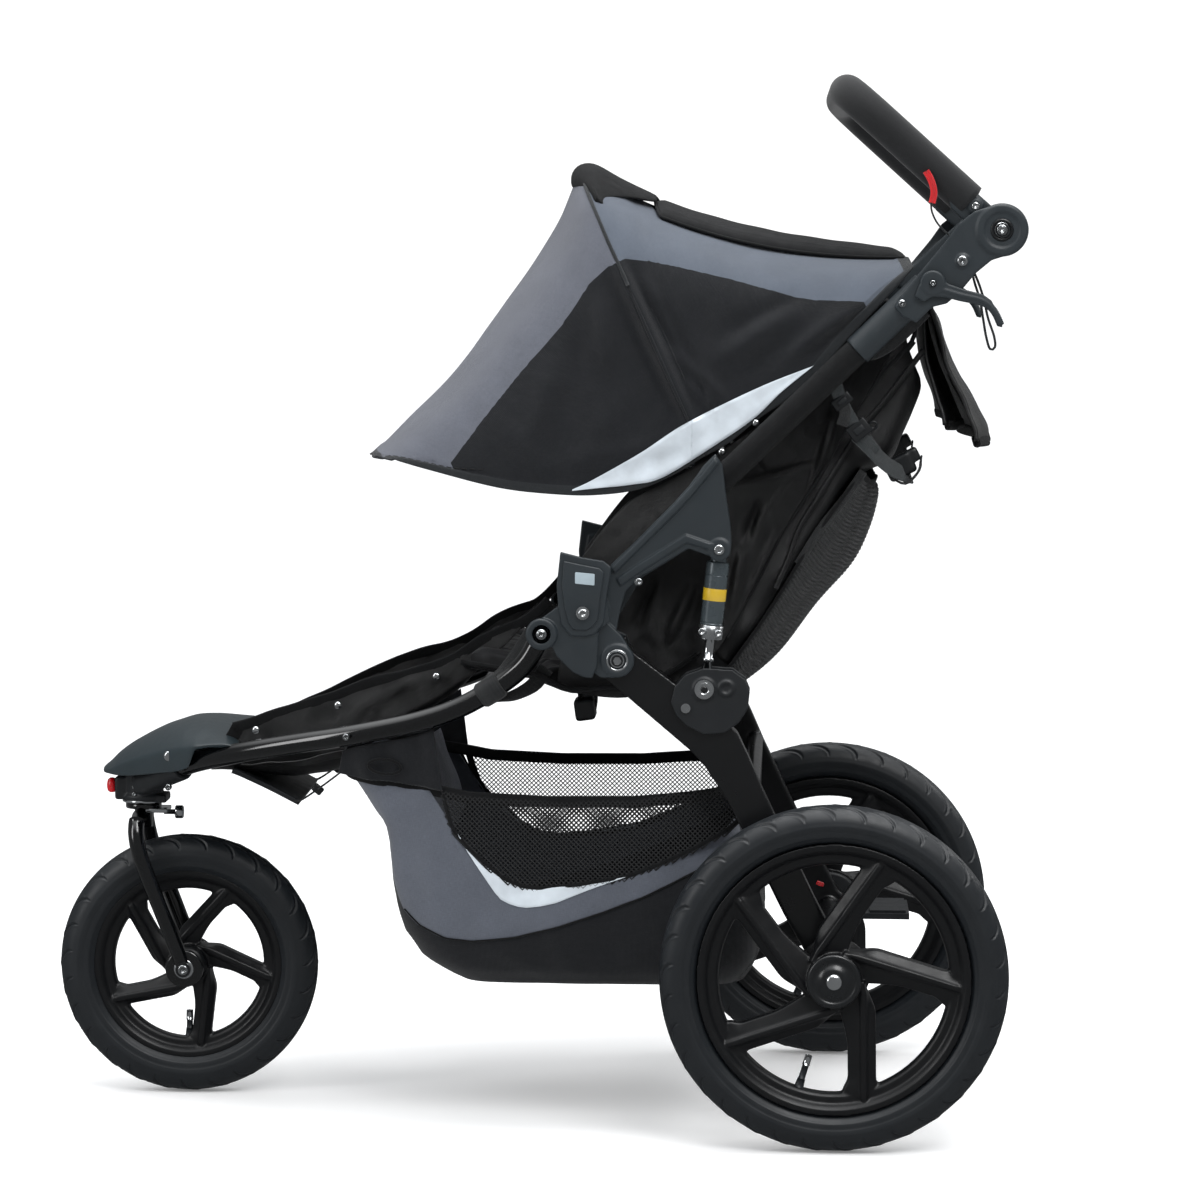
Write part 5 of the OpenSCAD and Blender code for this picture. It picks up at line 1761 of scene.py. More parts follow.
def basket_piece(obj, name):
    """Basket cloth, fixed to the frame's root with a mesh of its own."""
    on(obj, name, "root", "basket_fabric")
    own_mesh(obj)


def basket():
    wall, netted = basket_columns()
    wall = basket_wall(wall)
    shell = basket_shell(wall, netted)
    nets = [net_panel(s) for s in SIGNS]
    rim = np.concatenate([wall[:, -1], wall[:1, -1]])
    band = sweep(spline(rim[::2], 7) + [0, 0, -4.5], strip(14, 4.2), BIND, side=(0, 0, 1))
    bindings = [net_binding(s) for s in SIGNS]
    corner = [(470, -200, 402), (455, -202, 372), (438, -203, 343)]
    bindings.append(strap(corner, 6, 9, 3, BIND, (1, 0, 0)))
    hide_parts("basket")
    skin = side_skin(shell)
    tape_top = [(x, z + 1.5) for x, z in NET_LOW]
    for side, sign in SIDES:
        basket_piece(overlay(tape_top, TAPE_LOW, 240, 434, sign, skin, n=90, default_y=205),
                     "basket_silver_" + side)
    basket_piece(shell, "basket_shell")
    for (side, _), net in zip(SIDES, nets):
        basket_piece(net, "basket_net_" + side)
    basket_piece(band, "basket_rim_binding")
    for i, binding in enumerate(bindings):
        basket_piece(binding, "basket_net_binding_%d" % i)
    # piping along the seam between grey and black
    piping = []
    for sign in SIGNS:
        seam = [(x, float(interp(GREY_LOW, x))) for x in np.linspace(498, 120, 80)]
        piping.append(cord([(x, skin(x, z, sign, sign * 203) + sign * 0.9, z) for x, z in seam],
                           6, 1.1, 8, BIND))
    basket_piece(join(piping), "basket_piping")


# ---------- hangers from the frame to the basket's mouth ----------
def sheet(line_a, line_b, n, k, material, waves):
    """A cloth sheet ruled between two lines; waves gives its relief."""
    a, b = [at_share(line, np.linspace(0, 1, n)) for line in (line_a, line_b)]
    w = np.linspace(0, 1, k)[None, :, None]
    points = a[:, None, :] * (1 - w) + b[:, None, :] * w
    points = points + grid_normals(points) * waves(points)[..., None]
    return thick(grid(points, material), 1.6)


HANGER_TOP = [(570, 189, 440), (545, 196, 448), (510, 201, 455), (478, 207, 462),
              (462, 208, 470)]
HANGER_LOW = [(574, 186, 414), (545, 192, 408), (507, 196, 405), (470, 198, 399),
              (452, 199, 396)]
FLAP_LOW = [(574, 186, 414), (578, 100, 418), (579, 0, 419), (578, -100, 418), (574, -186, 414)]
FLAP_TOP = [(566, 150, 452), (572, 80, 446), (574, 0, 444), (572, -80, 446), (566, -150, 452)]
DIVIDER_TOP = [(486, 170, 424), (488, 60, 428), (488, -60, 428), (486, -170, 424)]
DIVIDER_LOW = [(452, 165, 330), (455, 60, 322), (455, -60, 322), (452, -165, 330)]


def hangers():
    for side, sign in SIDES:
        on(sheet(spline(to_side(HANGER_TOP, sign)), spline(to_side(HANGER_LOW, sign)), 60, 22,
                 BASKET_BLACK,
                 lambda q: 1.8 * soft_noise(q, 22, 2.0) + 1.2 * np.sin(q[..., 0] * 0.16)),
           "basket_hanger_" + side, "root", "basket_fabric")
        oval = [(519 + 19 * math.cos(a), 203.5 * sign,
                 424 + 8.5 * math.sin(a) + 1.5 * math.cos(a))
                for a in np.linspace(0, 2 * math.pi, 40)]
        on(sweep(oval, circle(1.8, 10), BIND), "pocket_oval_" + side, "root", "basket_fabric")
    on(sheet(spline(FLAP_LOW, 8), spline(FLAP_TOP, 8), 70, 12, BASKET_BLACK,
             lambda q: 1.5 * soft_noise(q, 30, 9.0)), "basket_front_flap", "root",
       "basket_fabric")
    on(sheet(spline(DIVIDER_TOP, 8), spline(DIVIDER_LOW, 8), 60, 20, BASKET_GREY,
             lambda q: 2.0 * soft_noise(q, 40, 1.0)), "basket_inner_divider", "root",
       "basket_fabric")


basket()
hangers()


# ---------- padded fabric ----------
def inflate(obj, pin, pressure, cap):
    """Inflate a closed cloth shape with its seams held; no point moves more than cap."""
    group = obj.vertex_groups.new(name="seams")
    for i in np.flatnonzero(pin):
        group.add([int(i)], 1.0, "REPLACE")
    rest = np.array([v.co[:] for v in obj.data.vertices])
    modifier = obj.modifiers.new("Cloth", "CLOTH")
    settings = modifier.settings
    settings.quality = 4
    settings.mass = 0.2
    settings.tension_stiffness = settings.compression_stiffness = 12
    settings.shear_stiffness = 4
    settings.bending_stiffness = 0.3
    settings.air_damping = 2.0
    settings.use_pressure = True
    settings.uniform_pressure_force = pressure
    settings.shrink_min = -0.05
    settings.vertex_group_mass = "seams"
    settings.effector_weights.gravity = 0
    modifier.collision_settings.use_collision = False
    last = 20
    modifier.point_cache.frame_start, modifier.point_cache.frame_end = 1, last
    for frame in range(1, last + 1):
        scene.frame_set(frame)
    result = obj.evaluated_get(bpy.context.evaluated_depsgraph_get())
    new = np.array([v.co[:] for v in result.data.vertices])
    obj.modifiers.remove(modifier)
    scene.frame_set(1)
    # keeps the rest shape if the simulation failed
    if len(new) == len(rest) and np.isfinite(new).all():
        move = new - rest
        size = np.linalg.norm(move, axis=1)
        share = np.minimum(1.0, cap / 1000 / np.maximum(size, 1e-9))
        for vertex, place in zip(obj.data.vertices, rest + move * share[:, None]):
            vertex.co = place
    obj.vertex_groups.clear()


def cushion(length, width, height, seams, cap, voxel=5.5, pressure=4.0, taper=0.0):
    """A flat cushion: X is its length, Y its width, Z its height, from 0.
    seams(x, y) gives the distance to the nearest seam; taper narrows its far end."""
    count = max(6, int(length / 12))
    edge = [(length * i / count, width / 2 * (1 - taper * (i / count)))
            for i in range(count + 1)]
    rim = edge + [(x, -y) for x, y in reversed(edge)]
    n = len(rim)
    points = [(x / 1000, y / 1000, z / 1000) for z in (0, height) for x, y in rim]
    faces = [tuple(range(n))[::-1], tuple(range(n, 2 * n))]
    faces += [(i, (i + 1) % n, n + (i + 1) % n, n + i) for i in range(n)]
    mesh = bpy.data.meshes.new("part")
    mesh.from_pydata(points, [], faces)
    obj = link(bpy.data.objects.new("part", mesh))
    mod(obj, "REMESH", mode="VOXEL", voxel_size=voxel * 1 / 1000,
        adaptivity=0.0)
    mod(obj, "SMOOTH", factor=0.5, iterations=3)
    bake(obj)
    co = np.array([v.co[:] for v in obj.data.vertices]) * 1000
    d = seams(co[:, 0], co[:, 1])
    inflate(obj, (d < voxel * 0.75) | (co[:, 2] < height * 0.25), pressure, cap)
    # press the seams in, crown the panels between them
    co = np.array([v.co[:] for v in obj.data.vertices]) * 1000
    top = smoothstep(height * 0.35, height * 0.8, co[:, 2])
    dent = 0.42 * height * np.exp(-(d / (voxel * 0.9)) ** 2)
    crown = 0.12 * height * (1 - np.exp(-(d / 26) ** 2))
    co[:, 2] += top * (crown - dent)
    for vertex, place in zip(obj.data.vertices, co):
        vertex.co = Vector(place) / 1000
    mod(obj, "SUBSURF", levels=1, render_levels=1)
    bake(obj)
    set_material(obj, SEAT)
    return shade(obj)


def lay(obj, path, y=0.0, lift=0.0):
    """Bend a cushion along an (x, z) path; its Z points to the right of travel,
    seen with X to the right and Z up."""
    d = lengths(path)
    total = d[-1]
    co = np.array([v.co[:] for v in obj.data.vertices]) * 1000
    s = co[:, 0]

    def place(at):
        at = np.clip(at, 0, total)
        return np.stack([np.interp(at, d, path[:, 0]), np.interp(at, d, path[:, 1])], -1)
    ahead = place(s + 14) - place(s - 14)
    ahead /= np.linalg.norm(ahead, axis=1)[:, None] + 1e-9
    normal = np.stack([ahead[:, 1], -ahead[:, 0]], -1)
    flat = (place(s) + ahead * (s - np.clip(s, 0, total))[:, None]
            + normal * (co[:, 2] + lift)[:, None])
    for vertex, (x, z), across in zip(obj.data.vertices, flat, co[:, 1]):
        vertex.co = vec_m(x, across + y, z)
    obj.data.update()
    return tidy(obj)


def seam_lines(cross, long_y, long_slope=0.0):
    """Distance to seams: cross seams at x + curve * y * y for (x, curve), and two long
    seams at +-(long_y + long_slope * x)."""
    def distance(x, y):
        lines = [np.abs(x - (at + curve * y * y)) for at, curve in cross]
        side = long_y + long_slope * x
        return np.min(lines + [np.abs(y - side), np.abs(y + side)], axis=0)
    return distance


# ---------- seat back ----------
SEAT_BACK = spline([(158, 574), (120, 642), (62, 742), (10, 832), (-48, 922), (-80, 966)], 8)
SHELL_BACK = [(124, 540), (80, 597), (34, 674), (4, 721), (-26, 762), (-57.79, 779.02),
              (-72.34, 808.98), (-85.72, 838.89), (-94.54, 866.44), (-88.56, 889.29),
              (-72.36, 907.49)]
SHELL_FOLDS = [(100, 610, 60, 680, 3.5, 9), (62, 700, 10, 780, -3.5, 8),
               (20, 800, -25, 860, 3.5, 8), (-20, 840, -60, 905, 3.0, 9),
               (30, 740, -20, 800, 3.0, 7), (110, 580, 70, 640, -2.5, 7)]
WING = [(-88, 939), (-83, 917), (-55, 886), (-31, 855), (-13, 828), (5, 791), (26, 754),
        (56, 710), (72, 679), (90, 642), (126, 576)]


def seat_back_pad():
    seams = seam_lines([(110, 0), (215, -0.0005), (320, -0.0008)], 98, -0.02)
    pad = cushion(lengths(SEAT_BACK)[-1] - 14, 300, 20, seams, cap=8)
    on(lay(pad, SEAT_BACK, lift=-3), "seat_back_pad", "seat_back", "seat_fabric", "seat_back")


def seat_back_shell():
    """Soft sling behind the pad, with rounded sides."""
    nu, nv = 96, 72
    u = np.linspace(0, 1, nu)
    front = at_share(level(SEAT_BACK, 0), u)
    back = at_share(spline(level(SHELL_BACK, 0), 8), u)
    width = 176 - 10 * smoothstep(0.78, 1.0, u) - 6 * (1 - smoothstep(0.0, 0.12, u))
    angle = np.linspace(0, 2 * math.pi, nv, endpoint=False)
    middle, half = (front + back) / 2, (front - back) / 2
    points = middle[:, None] + half[:, None] * signed_power(np.cos(angle), 0.42)[None, :, None]
    points[..., 1] = width[:, None] * signed_power(np.sin(angle), 0.5)
    flank = smoothstep(120, 168, np.abs(points[..., 1]))
    fold = crease(points[..., 0], points[..., 2], SHELL_FOLDS)
    points[..., 1] += (np.sign(points[..., 1]) * flank
                       * (fold + 2.0 * soft_noise(points, 42, 8.0) - 2.5))
    forward = front - back
    forward /= np.linalg.norm(forward, axis=1)[:, None]
    behind = smoothstep(0.0, 0.5, -np.cos(angle))
    push = behind[None, :] * (4 + 3.0 * soft_noise(points, 60, 3.0))
    points -= forward[:, None, :] * push[..., None]
    obj = tidy(grid(points, SEAT_SIDE, cv=True), close=True)
    on(shade(obj), "seat_back_shell", "seat_back", "seat_fabric")


def seat_wings():
    for side, sign in SIDES:
        on(cord(level(WING, 178 * sign), 6, 2.6, 12, BIND), "seat_wing_binding_" + side,
           "seat_back", "seat_fabric")
        fold = [(x - 14 - 6 * math.sin(i), (179 + 2 * math.sin(i * 1.7)) * sign, z - 9)
                for i, (x, z) in enumerate(WING[1:-1])]
        on(cord(fold, 6, 3.4, 12, SEAT_SIDE), "seat_wing_fold_" + side, "seat_back",
           "seat_fabric")


# ---------- pocket behind the seat back ----------
POCKET_OUTER = [(109, 513), (64, 552), (17, 607), (-17, 651), (-35, 692), (-47, 731), (-44, 745)]
POCKET_INNER = [(122, 540), (80, 600), (34, 676), (4, 722), (-26, 763)]


def back_pocket():
    """Ribbed net bulging back from the shell."""
    ribs = 56
    nu, nv = ribs * 6 + 1, 61
    u = np.linspace(0, 1, nu)
    outer = at_share(spline(level(POCKET_OUTER, 0), 4), u)
    inner = at_share(spline(level(POCKET_INNER, 0), 4), u)
    across = np.linspace(-1, 1, nv)
    bulge = 1 - np.abs(across) ** 3.2
    points = inner[:, None] + (outer - inner)[:, None] * bulge[None, :, None]
    points[..., 1] = across * (168 + 2 * np.sin(np.arange(nu) * 0.05))[:, None]
    normals = grid_normals(points)
    wavy = u[:, None] + 0.012 * np.sin(across * 9) + 0.006 * np.sin(across * 23 + 1)
    relief = (1.9 * np.sin(wavy * ribs * 2 * math.pi)
              + 3.0 * np.sin(wavy * 9.0 + across * 2) * bulge)
    points += normals * relief[..., None] * np.where(normals[..., :1] > 0, -1, 1)
    on(thick(grid(points, POCKET), 1.4), "back_pocket_net", "seat_back", "pocket_mesh",
       "back_pocket")
    parts = [strap(points[-1, ::3], 6, 15, 3.4, BIND, (0.35, 0, -1)),
             strap(points[0, ::3], 6, 9, 3.0, BIND, (0.3, 0, -1))]
    parts += [cord(points[::12, j], 6, 2.4, 10, BIND) for j in (0, -1)]
    parts.append(strap(level([(-30, 768), (-10, 738), (18, 702), (44, 660)], 168), 6, 10, 2.4,
                       WEB, (0, 0, 1)))
    on(join(parts), "back_pocket_binding", "seat_back", "pocket_mesh")


# ---------- seat base ----------
SEAT_BASE = spline([(424, 536), (386, 530), (340, 523), (290, 518), (215, 523), (170, 540)], 8)
UNDERSIDE = spline([(432, 530), (404, 526), (361, 519), (326, 508), (305, 501), (271, 501),
                    (236, 504), (200, 516), (156, 545)], 8)
# (x0, y0, x1, y1, height, width)
UNDERSIDE_FOLDS = [(400, -150, 300, -60, 2.5, 12), (400, 150, 300, 60, 2.5, 12),
                   (200, 150, 280, 40, 2.5, 12), (200, -150, 280, -40, 2.5, 12)]


def seat_base():
    seams = seam_lines([(70, 0.0006), (140, 0.0003), (205, 0)], 100)
    pad = cushion(lengths(SEAT_BASE)[-1] - 6, 330, 18, seams, cap=7, taper=0.05)
    on(lay(pad, SEAT_BASE, lift=-2), "seat_base_pad", "root", "seat_fabric", "seat_base")
    # underside sling, sagging between the tubes
    line = at_share(UNDERSIDE, np.linspace(0, 1, 70))
    across = np.linspace(-1, 1, 60)
    points = np.stack([line[:, :1] + 0 * across, 190 * across + 0 * line[:, :1],
                       line[:, 1:] + 16 * across ** 4], 2)
    points[..., 2] += (2.2 * soft_noise(points, 50, 21.0)
                       + crease(points[..., 0], points[..., 1], UNDERSIDE_FOLDS))
    on(thick(grid(points, SEAT_SIDE), 2.0), "seat_base_underside", "root", "seat_fabric")
    on(join([cord(points[::4, j], 6, 3.0, 12, BIND) for j in (-1, 0)]), "seat_base_edges",
       "root", "seat_fabric")
    # hanging buckle and its strap
    buckle = [box((294, 60, 478), (24, 44, 26), BUCKLE, 4, turn=8),
              box((290, 60, 494), (13, 30, 14), BUCKLE, 3)]
    on(soften(buckle, BUCKLE, 1.5, 5), "seat_base_buckle", "root", "webbing")
    on(strap([(294, 60, 470), (291, 60, 488), (292, 62, 500), (296, 70, 504), (302, 120, 507),
              (306, 172, 516)], 5, 24, 2.2, WEB, (1, 0, 0)), "seat_base_buckle_strap", "root",
       "webbing")


# ---------- side walls between the tubes, the seat back and the seat base ----------
SIDE_TOP = [(306, 648), (272, 696), (250, 722), (226, 742), (158, 778), (90, 822), (28, 868),
            (-20, 925), (-62, 962)]
SIDE_LOW = [(322, 516), (276, 506), (232, 506), (180, 524), (140, 556), (122, 584), (90, 642),
            (56, 710), (5, 791), (-31, 855), (-60, 905), (-88, 945)]
SIDE_FOLDS = [
    (4.54, 832.57, 26.54, 747.37, 18, 5.04), (-12.63, 747.67, 55.06, 648.66, 12, 5.76),
    (13.29, 727.81, 68.44, 681.42, -12, 5.04), (68.56, 694.56, 100.69, 621.93, 18, 5.76),
    (91.74, 727.19, 107.73, 681.09, -12, 5.76), (107.73, 681.09, 120.21, 601.99, 12, 6.48),
    (133.68, 647.98, 162.73, 581.81, 10, 7.2), (-73.15, 875.49, -34.67, 823.05, 16, 5.04),
    (-50.49, 865.56, -27.91, 845.85, -12, 4.32), (-85.67, 917.88, -47.23, 865.54, 14, 5.76),
    (121.39, 753.19, 30.09, 776.81, -7, 4.32), (108.73, 805.68, 82.26, 766.6, -6, 3.24),
    (39.36, 721.05, 87.69, 635.22, 10, 6.48), (166.38, 634.53, 192.25, 574.93, 10, 6.48),
    (209.1, 640.74, 231.76, 584.47, -10, 5.76), (87.52, 615.47, 113.3, 559.17, -10, 5.76),
    (34.19, 865.0, 24.0, 822.63, 8, 11.52)]


def side_walls():
    n, k = ((190, 84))
    for side, sign in SIDES:
        top = at_share(spline(level(SIDE_TOP, 203), 8), np.linspace(0, 1, n))
        low = at_share(spline(level(SIDE_LOW, 181), 8), np.linspace(0, 1, n))
        w = np.linspace(0, 1, k)
        points = top[:, None] * (1 - w)[None, :, None] + low[:, None] * w[None, :, None]
        bell = np.clip(np.sin(w * math.pi), 0, 1)[None, :]
        fold = (crease(points[..., 0], points[..., 2], SIDE_FOLDS)
                + 2.6 * soft_noise(points, 60, 5.0 + sign) + 0.8 * soft_noise(points, 17, 9.0))
        points[..., 1] += bell ** 0.5 * fold - 5 * bell
        points[..., 1] = np.minimum(points[..., 1], 208) * sign
        obj = rename(thick(grid(points, SEAT_SIDE), 1.6), "seat_side_" + side)
        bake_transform(obj)


seat_back_pad()
seat_back_shell()
seat_wings()
back_pocket()
seat_base()
side_walls()

# ---------- footwell ----------
WELL_FLOOR = spline([(738, 402), (701.06, 401.47), (658.7, 397.06), (616.35, 398.73),
                     (577.66, 408.85), (560, 427), (520, 451), (470, 483), (438, 509),
                     (424, 530)])
WELL_TOP = spline([(706.93, 458.26), (671.47, 469.27), (581.82, 498.54), (508.85, 521.67),
                   (453.64, 538.7), (412.62, 563.81), (385.69, 578.17), (362.28, 586.61),
                   (338.94, 606.78), (326.12, 620.97)])
WELL_FOLDS = [(560, 480, 470, 530, 4, 8), (600, 440, 500, 500, -3, 8),
              (470, 510, 420, 560, 4, 8), (650, 430, 560, 470, 2, 9)]
WELL_U = np.linspace(0, 1, 120)
WELL_RIM = at_share(WELL_TOP, WELL_U)


def rim_drop(u, right):
    """How far the footwell's rim sinks towards the front, much more on the right."""
    return 23 * (1 - smoothstep(0.02, 0.5, u)) * np.where(right, 1, 0.12)


def footwell():
    """A sling: a floor that curves up into a wall each side."""
    floor, rim = at_share(WELL_FLOOR, WELL_U), WELL_RIM
    v = np.linspace(-1, 1, 66)[None, :]
    u, a = WELL_U[:, None], np.abs(v)
    half = 104 + 34 * u
    w = smoothstep(0.5, 1.0, a) ** 1.4
    y = np.where(a < 0.72, a / 0.72 * half * 0.92,
                 half * (0.92 + 0.08 * np.sin((a - 0.72) / 0.28 * math.pi / 2)))
    x, z = [floor[:, k:k + 1] * (1 - w) + rim[:, k:k + 1] * w for k in (0, 1)]
    z = z - w * rim_drop(u, v < 0)
    points = np.stack([x, np.sign(v) * y, z], 2)
    points[..., 2] += 1.8 * soft_noise(points, 40, 31.0)
    y = points[..., 1]
    y += (np.sign(y) * smoothstep(80, 110, np.abs(y))
          * (2.4 * soft_noise(points, 30, 13.0)
             + crease(points[..., 0], points[..., 2], WELL_FOLDS)))
    on(thick(grid(points, SEAT_SIDE), 2.0), "footwell_sling", "root", "seat_fabric", "footwell")
    parts = [strap(points[::4, j], 6, 13, 3.6, BIND, (0, 0.25, 1)) for j in (0, -1)]
    parts.append(strap(points[2, ::3] + [0, 0, 1.5], 6, 16, 3.0, BIND, (1, 0, 0)))
    on(join(parts), "footwell_binding", "root", "seat_fabric")


def footwell_snaps():
    snaps = []
    for x, z in ((679.51, 458.78), (581.61, 488.14), (465.2, 523.49)):
        y = 112 + 0.13 * (700 - x) * 0.6
        u = WELL_U[int(np.argmin(np.abs(WELL_RIM[:, 0] - x)))]
        for s in SIGNS:
            z = z - float(rim_drop(u, s < 0))
            snaps.append(lathe([(0.01, y - 1), (4.2, y - 1), (4.8, y + 1.0), (4.0, y + 2.2),
                                (2.2, y + 3.0), (0.01, y + 3.2)],
                               (x, z - 2), CHROME, sign=s, n=32))
            z = z + float(rim_drop(u, s < 0))
    on(join(snaps), "footwell_snaps", "root", "steel")


def foot_plate():
    """A thin stiffener under the front of the sling, and straps beside it."""
    line = spline(level([(709.97, 403.23), (700.48, 399.75), (667.26, 384.63),
                         (630.48, 365.97)], 0), 5)
    section = [(-98, -2.2), (-96, -3.0), (96, -3.0), (98, -2.2), (98, 2.2), (96, 3.0),
               (-96, 3.0), (-98, 2.2)]
    obj = shade(sweep(line, section, CAST_DARK, side=ALONG_Y), False)
    on(obj, "foot_plate", "root", "casting", "foot_rest")
    bevel_edges(obj, 0.8, 2)
    parts = []
    hold = [(635.9, 94, 369.06), (628.9, 97, 369.06), (607.7, 101, 383.17),
            (577.22, 116, 407.15), (565.22, 132, 419.15)]
    for s in SIGNS:
        parts.append(strap(to_side(hold, s), 5, 9, 2.0, WEB, ALONG_Y))
        parts.append(box((607.7, 102 * s, 383.17), (13, 7, 10), BUCKLE, 2.0, turn=-40))
    on(join(parts), "footwell_straps", "root", "webbing")


def footwell_sides():
    top = [(697.85, 413.08), (656.47, 415.9), (609.21, 423.51), (565.54, 434.63)]
    low = [(698.62, 414.68), (657.2, 411.56), (615.8, 413.19), (568.52, 424.37)]
    for side, sign in SIDES:
        on(sheet(spline(level(top, 118 * sign)), spline(level(low, 106 * sign)), 60, 14,
                 SEAT_SIDE, lambda q: 1.8 * soft_noise(q, 24, 4.0)), "footwell_side_" + side,
           "root", "seat_fabric")


def tie_downs():
    """Webbing wrapped round the front tubes, with two tails each side."""
    k = int(np.argmin(np.abs(FRONT_TUBE[:, 0] - 396.7)))
    # tails as (x, y inwards, z) from the wrap's middle
    upper = [(-4, 0, 12), (-18, -14, 22), (-34, -26, 44), (-46, -34, 64)]
    lower = [(6, -4, -13), (-20, -20, -10), (-46, -34, 2), (-62, -40, 22)]
    parts = []
    for s in SIGNS:
        a, b = FRONT_TUBE[k - 2] * [1, s, 1], FRONT_TUBE[k + 2] * [1, s, 1]
        along = (b - a) / np.linalg.norm(b - a)
        middle = (a + b) / 2
        parts.append(sweep([middle + along * d for d in (-15, -12, 0, 12, 15)], circle(1, 26),
                           WEB, scale=[13.0, 15.0, 15.4, 15.0, 13.0], side=(0, 0, 1)))
        for tail, width in ((upper, 20), (lower, 18)):
            parts.append(strap(middle + np.array(to_side(tail, s)), 5, width, 2.4, WEB,
                               (1, 0, 0)))
    on(join(parts), "seat_tie_down_straps", "root", "webbing")


# ---------- harness ----------
# (distance up the seat back, lift in front of it, y)
SHOULDER_STRAP = [(395, 19, 56), (360, 27, 56), (320, 29, 56), (280, 29, 56), (240, 29, 55),
                  (200, 30, 53), (165, 31, 48), (135, 33, 40), (105, 34, 30), (80, 33, 18)]
HIP_STRAP = [(30, 10, 150), (42, 26, 112), (60, 34, 64), (70, 36, 24)]


def on_seat(distance, lift, y=0):
    d = lengths(SEAT_BACK)
    here, ahead = [np.array([np.interp(s, d, SEAT_BACK[:, k]) for k in (0, 1)])
                   for s in (distance, distance + 5)]
    t = (ahead - here) / np.linalg.norm(ahead - here)
    return here[0] + t[1] * lift, y, here[1] - t[0] * lift


def harness():
    parts = []
    for side, s in SIDES:
        for table, direction in ((SHOULDER_STRAP, ALONG_Y), (HIP_STRAP, (0, 0, 1))):
            line = [on_seat(distance, lift, y * s) for distance, lift, y in table]
            parts.append(strap(line, 6, 24, 2.4, WEB, direction))
            if table is SHOULDER_STRAP:
                pad = cushion(150, 54, 11, lambda x, y: np.minimum(np.abs(np.abs(y) - 19),
                                                                   np.abs(x - 75) + 4),
                              cap=5, voxel=4.0, pressure=3.0)
                path = spline([on_seat(d, 25)[::2] for d in (235, 270, 310, 350, 392)], 8)
                on(lay(pad, path, y=56 * s), "harness_pad_" + side, "seat_back", "webbing",
                   "harness")
        parts.append(box(on_seat(205, 32, 53 * s), (8, 32, 26), BUCKLE, 2, turn=-30))
    # chest strap and its clip
    x, _, z = on_seat(250, 36)
    parts.append(sweep([(x, -52, z), (x + 3, 0, z), (x, 52, z)], strip(18, 2.2), WEB,
                       side=(0.5, 0, 1)))
    parts.append(box((x + 4, 0, z), (8, 44, 30), BUCKLE, 3, turn=-30))
    # lower buckle and the strap below it
    x, _, z = on_seat(74, 38)
    parts.append(soften([box((x, 0, z), (12, 52, 46), BUCKLE, 4, turn=-30),
                         box((x + 5, 0, z - 1), (8, 22, 22), BUCKLE, 3, turn=-30)],
                        BUCKLE, 1.6, 4))
    parts.append(strap([(x - 2, 0, z - 20), (x + 18, 0, z - 40), (x + 48, 0, z - 46),
                        (x + 66, 0, z - 56)], 5, 36, 7, SEAT_SIDE, ALONG_Y))
    on(join(parts), "harness_webbing", "seat_back", "webbing")


# ---------- fabric hanging behind the seat, and the head of the seat ----------
OUTER_FLAP = [(-104, 958), (-113, 940), (-121, 912), (-131, 882), (-144, 858), (-156, 834),
              (-165, 814), (-166, 800)]
INNER_FLAP = [(-98, 950), (-104, 920), (-110, 892), (-118, 866), (-129, 842), (-136, 818)]


def hanging(line, top_half, low_half, wave, seed):
    """Points of a sheet hanging down a line, narrowing and waving towards its foot."""
    p = at_share(spline(line, 5), np.linspace(0, 1, 40))
    v = np.linspace(-1, 1, 60)[None, :]
    w = np.linspace(0, 1, 40)[:, None]
    bow = -22
    points = np.stack([p[:, :1] + w ** 0.6 * (bow * (1 - np.abs(v) ** 1.5) - bow * 0.5),
                       v * (top_half + (low_half - top_half) * w),
                       p[:, 1:] + 3.5 * w * np.abs(v) ** 3], 2)
    waves = wave * np.sin(np.linspace(0, 7.2 * math.pi, 60) + seed)[None, :]
    points[..., 0] += w ** 0.8 * waves + 1.6 * soft_noise(points, 30, seed)
    return points


def rear_flaps():
    for name, hem, points, thickness, hem_width, hem_thickness in (
            ("rear_flap_outer", "rear_flap_hem", hanging(OUTER_FLAP, 186, 176, 3.0, 1.0),
             5.0, 15, 7.5),
            ("rear_flap_inner", "rear_flap_inner_hem", hanging(INNER_FLAP, 178, 168, 2.5, 4.0),
             4.0, 12, 6.0)):
        on(thick(grid(points, SEAT_SIDE), thickness), name, "upright", "canopy_fabric")
        on(strap(points[-1, ::3], 6, hem_width, hem_thickness, BIND, (0.3, 0, 1)), hem,
           "upright", "canopy_fabric")


def seat_head():
    """Panel from the tops of the wings back to the canopy's rear edge."""
    w, v = np.linspace(0, 1, 24)[:, None], np.linspace(-1, 1, 50)[None, :]
    a = np.abs(v)
    x0, z0 = -100 + 22 * a ** 4, 958 - 16 * a ** 4
    x1, z1 = -128 + 30 * a ** 3, 968 - 8 * a ** 3
    arch = 2 * np.sin(w * math.pi) * (1 - 0.4 * a)
    points = np.stack([x0 + (x1 - x0) * w, v * (178 + 12 * w), z0 + (z1 - z0) * w + arch], 2)
    on(thick(grid(points, SEAT_SIDE), 2), "seat_head_panel", "upright", "seat_fabric")


